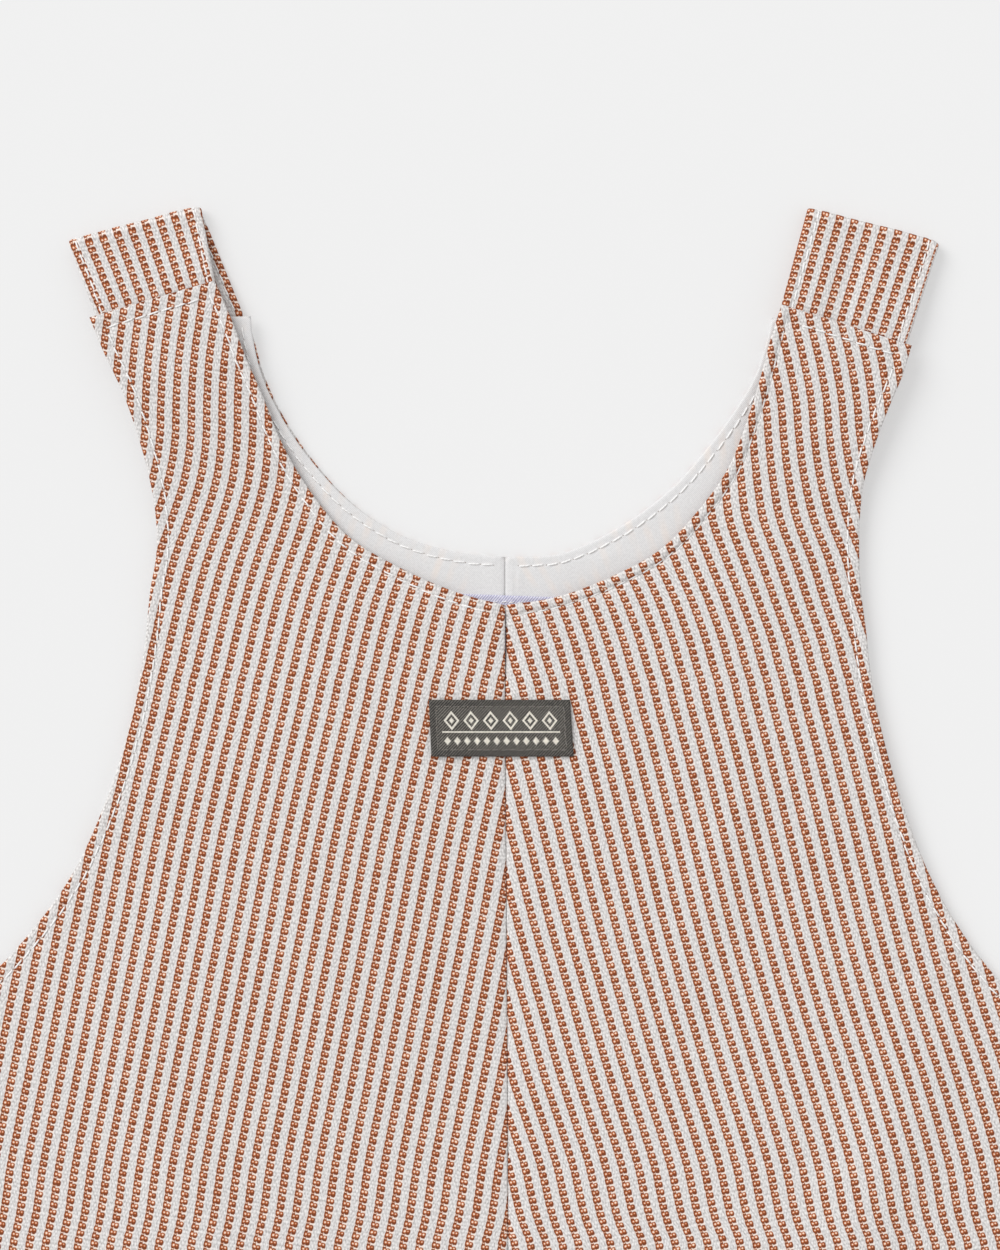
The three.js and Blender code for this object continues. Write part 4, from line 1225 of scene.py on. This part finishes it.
def woven_label(colours, sizes):
    """Dark grey polyester twill, jacquard woven with a cream border pattern of plain lozenges.

    Fine diagonal ribs give it a dull gleam.
    """
    material, tree, shader, place = new_material("dark_grey_jacquard_woven_polyester")
    flat = add(tree, COMBINE, {0: place[0], 1: place[1]})
    # Real ribs are a fifth of a millimetre apart, drawn here at more than twice that to show.
    slant = add(tree, MATH, {0: place[0], 1: place[1]}, operation="ADD")
    turns = add(tree, MATH, {0: slant, 1: TURN / DRAWN_RIB}, operation="MULTIPLY")
    rib = add(tree, MATH, {0: turns}, operation="SINE")
    fleck = add(tree, NOISE, {"Vector": flat, "Scale": 1.4, "Detail": 3.0})
    height = add(tree, MATH, {0: rib, 1: 0.4, 2: fleck}, operation="MULTIPLY_ADD")
    # The turned-in border is double, and it is drawn lower and darker than the rest.
    border = add(tree, RANGE, {0: place[2], 1: 1.3, 2: 2.1, 3: 0.2, 4: 0.0})
    height = add(tree, MATH, {0: height, 1: border}, operation="SUBTRACT")
    shade = add(tree, RANGE, {0: height, 1: 0.2, 2: 0.85})
    ground = add(tree, MIX, {0: shade, 6: colours.label_shade, 7: colours.label}, data_type="RGBA")

    figures = None
    for middle, pitch, half_width, half_height, outline in LOZENGE_ROWS:
        turn = add(tree, MATH, {0: place[0], 1: pitch}, operation="DIVIDE")
        step = add(tree, MATH, {0: turn}, operation="FRACT")
        across = add(tree, MATH, {0: step, 1: pitch, 2: -pitch / 2}, operation="MULTIPLY_ADD")
        across = add(tree, MATH, {0: across}, operation="ABSOLUTE")
        across = add(tree, MATH, {0: across, 1: half_width}, operation="DIVIDE")
        down = add(tree, MATH, {0: place[1], 1: middle}, operation="SUBTRACT")
        down = add(tree, MATH, {0: down}, operation="ABSOLUTE")
        down = add(tree, MATH, {0: down, 1: half_height}, operation="DIVIDE")
        reach = add(tree, MATH, {0: across, 1: down}, operation="ADD")
        if outline:
            reach = add(tree, MATH, {0: reach, 1: 1 - outline}, operation="SUBTRACT")
            reach = add(tree, MATH, {0: reach}, operation="ABSOLUTE")
        limit = outline or 1
        figure = add(tree, RANGE, {0: reach, 1: limit * 1.25, 2: limit * 0.8})
        if figures is None:
            figures = figure
        else:
            figures = add(tree, MATH, {0: figures, 1: figure}, operation="MAXIMUM")
    for middle in LABEL_LINES:
        down = add(tree, MATH, {0: place[1], 1: middle}, operation="SUBTRACT")
        down = add(tree, MATH, {0: down}, operation="ABSOLUTE")
        line = add(tree, RANGE, {0: down, 1: 0.24, 2: 0.12})
        figures = add(tree, MATH, {0: figures, 1: line}, operation="MAXIMUM")
    sideways = add(tree, MATH, {0: place[0]}, operation="ABSOLUTE")
    within = add(tree, MATH, {0: sideways, 1: LABEL_FIGURE_END}, operation="LESS_THAN")
    figures = add(tree, MATH, {0: figures, 1: within}, operation="MULTIPLY")
    thread = add(tree, RANGE, {0: fleck, 1: 0.3, 2: 0.7, 3: 0.72, 4: 1.0})
    figures = add(tree, MATH, {0: figures, 1: thread}, operation="MULTIPLY")
    colour = add(tree, MIX, {0: figures, 6: ground, 7: colours.label_figure}, data_type="RGBA")
    relief = add(tree, MATH, {0: figures, 1: 0.8, 2: height}, operation="MULTIPLY_ADD")
    bump = add(tree, BUMP, {"Height": relief, "Distance": sizes.weave_relief, "Strength": 0.6})
    link_surface(tree, shader, colour, bump)
    shader.inputs["Roughness"].default_value = 0.62
    shader.inputs["IOR"].default_value = 1.57
    shader.inputs["Specular IOR Level"].default_value = 0.35
    return material


def twill_tape(colours, sizes):
    """Lilac-blue polyester satin tape, woven in a fine twill with a faint sheen."""
    material, tree, shader, place = new_material("lilac_woven_satin_tape")
    flat = add(tree, COMBINE, {0: place[0], 1: place[1]})
    slant = add(tree, MATH, {0: place[0], 1: 1.3, 2: place[1]}, operation="MULTIPLY_ADD")
    turns = add(tree, MATH, {0: slant, 1: TURN / DRAWN_TAPE_RIB}, operation="MULTIPLY")
    rib = add(tree, MATH, {0: turns}, operation="SINE")
    fleck = add(tree, NOISE, {"Vector": flat, "Scale": 1.1, "Detail": 3.0})
    height = add(tree, MATH, {0: rib, 1: 0.4, 2: fleck}, operation="MULTIPLY_ADD")
    shade = add(tree, RANGE, {0: height, 1: 0.2, 2: 0.85})
    colour = add(tree, MIX, {0: shade, 6: colours.tape_shade, 7: colours.tape}, data_type="RGBA")
    bump = add(tree, BUMP, {"Height": height, "Distance": sizes.weave_relief * 0.6, "Strength": 0.5})
    link_surface(tree, shader, colour, bump)
    shader.inputs["Roughness"].default_value = 0.5
    shader.inputs["IOR"].default_value = 1.57
    shader.inputs["Sheen Weight"].default_value = 0.2
    return material


def sewing_thread(name, colour):
    """Core-spun polyester thread, two plies twisted together, slightly silky."""
    material, tree, shader, place = new_material(name)
    # The plies turn once in 0.9 mm. The groove between them is drawn in painted shade, a colour a little
    # darker than the thread.
    turns = add(tree, MATH, {0: place[0], 1: 1 / 0.9, 2: place[1]}, operation="MULTIPLY_ADD")
    angle = add(tree, MATH, {0: turns, 1: TURN}, operation="MULTIPLY")
    ply = add(tree, MATH, {0: angle}, operation="SINE")
    shade = add(tree, RANGE, {0: ply, 1: -1.0, 2: 0.4})
    dark = tuple(c * 0.88 for c in colour)
    mixed = add(tree, MIX, {0: shade, 6: dark, 7: colour}, data_type="RGBA")
    bump = add(tree, BUMP, {"Height": ply, "Distance": 0.00004, "Strength": 0.5})
    link_surface(tree, shader, mixed, bump)
    shader.inputs["Roughness"].default_value = 0.55
    shader.inputs["IOR"].default_value = 1.57
    shader.inputs["Sheen Weight"].default_value = 0.1
    return material


def needle_hole_shade(name, colour):
    """Painted shade for the hollow that a needle leaves between two stitches, laid on as a dark flat disc.
    """
    material, tree, shader, _ = new_material(name)
    spread = add(tree, NOISE, {"Scale": 900.0, "Detail": 2.0})
    light = tuple(min(1, c * 1.6) for c in colour)
    mixed = add(tree, MIX, {0: spread, 6: colour, 7: light}, data_type="RGBA")
    link_surface(tree, shader, mixed)
    shader.inputs["Roughness"].default_value = 1.0
    shader.inputs["Specular IOR Level"].default_value = 0.0
    return material


def light_table(colour, glow):
    """Opal acrylic table top, ground matt and lit evenly from below, so that shadows on it stay faint."""
    material, tree, shader, _ = new_material("matt_opal_acrylic_table")
    where = add(tree, "ShaderNodeTexCoord")
    mottle = add(tree, NOISE, {"Vector": where.outputs["Object"], "Scale": 60.0, "Detail": 4.0})
    dull = tuple(c * 0.99 for c in colour)
    mixed = add(tree, MIX, {0: mottle, 6: dull, 7: colour}, data_type="RGBA")
    link_surface(tree, shader, mixed)
    shader.inputs["Emission Color"].default_value = (1, 1, 1, 1)
    shader.inputs["Emission Strength"].default_value = glow
    shader.inputs["Roughness"].default_value = 1.0
    shader.inputs["IOR"].default_value = 1.49
    shader.inputs["Specular IOR Level"].default_value = 0.0
    return material


def once(name, make):
    """The material of this name, made if there is none yet."""
    return bpy.data.materials.get(name) or make()


def stripe_material(scene, strap=False):
    name = "double_striped_dobby_cotton" if strap else "striped_dobby_cotton"
    repeat = STRAP_STRIPE_REPEAT if strap else STRIPE_REPEAT
    colours, sizes = scene.dungarees_colours, scene.dungarees_sizes
    return once(name, lambda: striped_cotton(colours, sizes, name, repeat))


def facing_material(scene):
    name = "white_plain_woven_cotton_lawn"
    return once(name, lambda: facing_cotton(scene.dungarees_colours, scene.dungarees_sizes, name))


def thread_materials(scene, dark=False):
    colours = scene.dungarees_colours
    colour = tuple(colours.label_thread if dark else colours.thread)
    hole = tuple(colours.needle_hole_shade)
    name = "grey_spun_polyester_thread" if dark else "white_spun_polyester_thread"
    # The needle holes get a material of painted shade.
    hole_name = "painted_needle_hole_shade"
    return (
        once(name, lambda: sewing_thread(name, colour)),
        once(hole_name, lambda: needle_hole_shade(hole_name, hole)),
    )


# Settings that a user may change.


def colour_setting(name, description, colour):
    return FloatVectorProperty(
        name=name, description=description, default=linear(colour), subtype="COLOR", min=0, max=1
    )


def length_setting(name, description, metres):
    return FloatProperty(
        name=name, description=description, default=metres, subtype="DISTANCE", unit="LENGTH"
    )


class DungareesSizes(bpy.types.PropertyGroup):
    """Sizes of the sewing and the weave."""

    thread: length_setting("Thread", "Diameter of the sewing thread", 0.00044)
    stitch_length: length_setting("Stitch length", "Length of thread that shows in one stitch", 0.0029)
    stitch_pitch: length_setting("Stitch pitch", "Distance from one stitch to the next", 0.0035)
    stitch_depth: length_setting("Stitch furrow", "How deep a row of stitches pulls the cloth in", 0.0003)
    pucker: length_setting("Pucker", "Height of the small waves along sewn edges", 0.00008)
    weave_relief: length_setting("Weave relief", "How far the yarns of the weave stand proud", 0.00006)


class DungareesColours(bpy.types.PropertyGroup):
    """Colours of the cloth, labels, thread and backdrop."""

    stripe: colour_setting("Stripe", "Rust yarn of the stripe", "#bc6737")
    stripe_shade: colour_setting("Stripe shade", "Edges of each block of rust yarn", "#7c3f22")
    stripe_link: colour_setting("Stripe link", "Light threads between the blocks of rust yarn", "#cd8a62")
    stripe_light: colour_setting("Stripe light", "Pale floats in each block of rust yarn", "#fde3cd")
    cotton: colour_setting("White", "White yarn of the cloth", "#f3f0ee")
    cream: colour_setting("Cream", "White yarn where it crosses a stripe", "#fbe9dc")
    cotton_shade: colour_setting("White shade", "Hollows between white yarns", "#b0acaa")
    lawn: colour_setting("Facing", "White facing cloth", "#ebeaea")
    lawn_shade: colour_setting("Facing shade", "Hollows between facing yarns", "#d6d5d5")
    label: colour_setting("Label", "Ground of the front label", "#76716a")
    label_shade: colour_setting("Label shade", "Hollows of the front label", "#292724")
    label_figure: colour_setting("Label figure", "Cream pattern of the front label", "#efe9dc")
    tape: colour_setting("Neck label", "Lilac tape in the neck", "#e6e5f2")
    tape_shade: colour_setting("Neck label shade", "Hollows of the lilac tape", "#a8a7c6")
    thread: colour_setting("Thread", "White sewing thread", "#fcfbfa")
    label_thread: colour_setting("Label thread", "Grey thread that holds the front label", "#736e68")
    # Painted shade: the colour of the discs that stand for the shade in the needle holes.
    needle_hole_shade: colour_setting("Needle holes", "Shade in the needle holes", "#8d8079")
    backdrop: colour_setting("Table", "Acrylic table top", "#b3b3b3")


class DungareesStudio(bpy.types.PropertyGroup):
    """The soft light and the distance of the camera."""

    lamp: FloatProperty(
        name="Lamp", description="Strength of the soft lamp at the upper left", default=1.76, min=0
    )
    lamp_softness: FloatProperty(
        name="Lamp softness",
        description="How wide the lamp looks from the cloth",
        default=math.radians(40),
        subtype="ANGLE",
        unit="ROTATION",
    )
    surround: FloatProperty(name="Surround", description="Light from all round", default=0.64, min=0)
    table_glow: FloatProperty(
        name="Table glow", description="Light through the table from below", default=0.42, min=0
    )
    camera_distance: length_setting("Camera distance", "From the camera to the cloth", 1.6)


# Operators, one for each group of like pieces and one for the stage.


def settle(obj, node, material):
    """Gives a cloth piece its finish, hangs it on the body, and hides the CAD part that it stands for."""
    obj.data.materials.append(material)
    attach(obj, BODY_NAME)
    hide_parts(node)


def add_thread(scene, rows, dark=False):
    for material in thread_materials(scene, dark):
        rows.data.materials.append(material)


def sew_panels(scene, kind, make, cut_of, slot, finish, stitch_lines, rests_on=(), **row_settings):
    """Makes both sides of one kind of panel with its stitches. What each rests on is given but not used."""
    sizes = scene.dungarees_sizes
    for side, word in SIDES:
        panel = make(side, word, sizes)
        cut = cut_of(side)
        name = f"{kind}_{word}"
        rows = panel_stitches(f"{name}_stitches", panel, cut, side, stitch_lines, sizes, **row_settings)
        add_thread(scene, rows)
        settle(
            panel,
            name,
            finish(scene),
        )


class DUNGAREES_OT_backs(bpy.types.Operator):
    """Sews the two striped back panels."""

    bl_idname = "dungarees.backs"
    bl_label = "Back panels"

    def execute(self, context):
        sew_panels(
            context.scene,
            "back",
            back_panel,
            back_cut,
            "striped_cotton",
            stripe_material,
            STITCH_LINE,
            from_above=False,
        )
        return {"FINISHED"}


class DUNGAREES_OT_facings(bpy.types.Operator):
    """Sews the white facing inside the back neck."""

    bl_idname = "dungarees.facings"
    bl_label = "Back neck facing"

    def execute(self, context):
        sew_panels(
            context.scene,
            "facing",
            facing_panel,
            facing_cut,
            "white_cotton",
            facing_material,
            FACING_STITCH_LINE,
            rests_on=["back"],
            hole=FACING_HOLE,
        )
        return {"FINISHED"}


class DUNGAREES_OT_straps(bpy.types.Operator):
    """Sews the two folded shoulder straps."""

    bl_idname = "dungarees.straps"
    bl_label = "Shoulder straps"

    def execute(self, context):
        scene = context.scene
        sizes = scene.dungarees_sizes
        for side, word in SIDES:
            panel, lines = strap_panel(side, word, sizes)
            rows = stitches(
                f"strap_{word}_stitches",
                lines,
                sizes.thread / MM / 2,
                sizes.stitch_length / MM,
                sizes.stitch_pitch / MM,
            )
            add_thread(scene, rows)
            settle(
                panel,
                f"strap_{word}",
                stripe_material(scene, strap=True),
            )
        return {"FINISHED"}


class DUNGAREES_OT_fronts(bpy.types.Operator):
    """Sews the two striped front panels."""

    bl_idname = "dungarees.fronts"
    bl_label = "Front panels"

    def execute(self, context):
        sew_panels(
            context.scene,
            "front",
            front_panel,
            front_cut,
            "striped_cotton",
            stripe_material,
            STITCH_LINE,
            rests_on=["back", "strap"],
            wander=True,
        )
        return {"FINISHED"}


class DUNGAREES_OT_labels(bpy.types.Operator):
    """Sews on the front label and the neck label."""

    bl_idname = "dungarees.labels"
    bl_label = "Labels"

    def execute(self, context):
        scene = context.scene
        colours, sizes = scene.dungarees_colours, scene.dungarees_sizes
        on_facing = lambda x, down: np.full(len(x), FACING_UNDER + CLOTH + 0.05)
        labels = (
            ("front_label", FRONT_LABEL, front_top, "woven_label", woven_label, True, "front"),
            ("neck_label", NECK_LABEL, on_facing, "twill_label", twill_tape, False, "facing"),
        )
        for node, size, top_at, slot, make, dark, carrier in labels:
            panel, flat_lines = label_panel(f"{node}_cloth", size, top_at, LABEL_CLOTH)
            lines = [lay_on(panel, line) for line in flat_lines]
            rows = stitches(f"{node}_stitches", lines, **LABEL_STITCHES)
            add_thread(scene, rows, dark)
            settle(panel, node, make(colours, sizes))
        return {"FINISHED"}


class DUNGAREES_OT_studio(bpy.types.Operator):
    """Sets the light table, the soft lamp and the camera overhead."""

    bl_idname = "dungarees.studio"
    bl_label = "Studio"

    def execute(self, context):
        scene = context.scene
        studio = scene.dungarees_studio
        reach = 3.0
        mesh = bpy.data.meshes.new("light_table")
        z = FLOOR_Z * MM
        corners = [(-reach, -reach, z), (reach, -reach, z), (reach, reach, z), (-reach, reach, z)]
        mesh.from_pydata(corners, [], [(0, 1, 2, 3)])
        floor = bpy.data.objects.new("light_table", mesh)
        floor.data.materials.append(light_table(tuple(scene.dungarees_colours.backdrop), studio.table_glow))
        scene.collection.objects.link(floor)

        lamp = bpy.data.lights.new("window_light", "SUN")
        lamp.energy = studio.lamp
        lamp.angle = studio.lamp_softness
        lamp_object = bpy.data.objects.new("window_light", lamp)
        lamp_object.rotation_euler = Vector(LAMP_FROM).to_track_quat("Z", "Y").to_euler()
        scene.collection.objects.link(lamp_object)

        world = bpy.data.worlds.new("white_studio")
        world.use_nodes = True
        background = world.node_tree.nodes["Background"]
        background.inputs["Color"].default_value = (1, 1, 1, 1)
        background.inputs["Strength"].default_value = studio.surround
        scene.world = world

        camera = bpy.data.cameras.new("overhead_camera")
        camera.sensor_width = SENSOR
        camera.lens = SENSOR * studio.camera_distance / (FIELD_LENGTH * MM)
        camera_object = bpy.data.objects.new("overhead_camera", camera)
        camera_object.location = (AIM[0] * MM, AIM[1] * MM, PHOTO_PLANE * MM + studio.camera_distance)
        scene.collection.objects.link(camera_object)
        scene.camera = camera_object
        scene.view_settings.view_transform = "Standard"
        return {"FINISHED"}


class DUNGAREES_PT_sidebar(bpy.types.Panel):
    """Lists the pieces and their settings."""

    bl_idname = "DUNGAREES_PT_sidebar"
    bl_label = "Dungarees"
    bl_space_type = "VIEW_3D"
    bl_region_type = "UI"
    bl_category = "Dungarees"

    def draw(self, context):
        for setting, _ in GROUPS:
            group = getattr(context.scene, setting)
            box = self.layout.box()
            for name in group.__annotations__:
                box.prop(group, name)
        for operator in OPERATORS:
            self.layout.operator(operator.bl_idname)


OPERATORS = (
    DUNGAREES_OT_backs,
    DUNGAREES_OT_facings,
    DUNGAREES_OT_straps,
    DUNGAREES_OT_fronts,
    DUNGAREES_OT_labels,
    DUNGAREES_OT_studio,
)
GROUPS = (
    ("dungarees_sizes", DungareesSizes),
    ("dungarees_colours", DungareesColours),
    ("dungarees_studio", DungareesStudio),
)


def register():
    for name, group in GROUPS:
        bpy.utils.register_class(group)
        setattr(bpy.types.Scene, name, PointerProperty(type=group))
    for cls in (*OPERATORS, DUNGAREES_PT_sidebar):
        bpy.utils.register_class(cls)


def unregister():
    for cls in (DUNGAREES_PT_sidebar, *reversed(OPERATORS)):
        bpy.utils.unregister_class(cls)
    for name, group in GROUPS:
        delattr(bpy.types.Scene, name)
        bpy.utils.unregister_class(group)


def main():
    register()
    bpy.ops.dungarees.backs()
    bpy.ops.dungarees.facings()
    bpy.ops.dungarees.straps()
    bpy.ops.dungarees.fronts()
    bpy.ops.dungarees.labels()
    bpy.ops.dungarees.studio()
    bpy.context.view_layer.update()


if __name__ == "__main__":
    main()
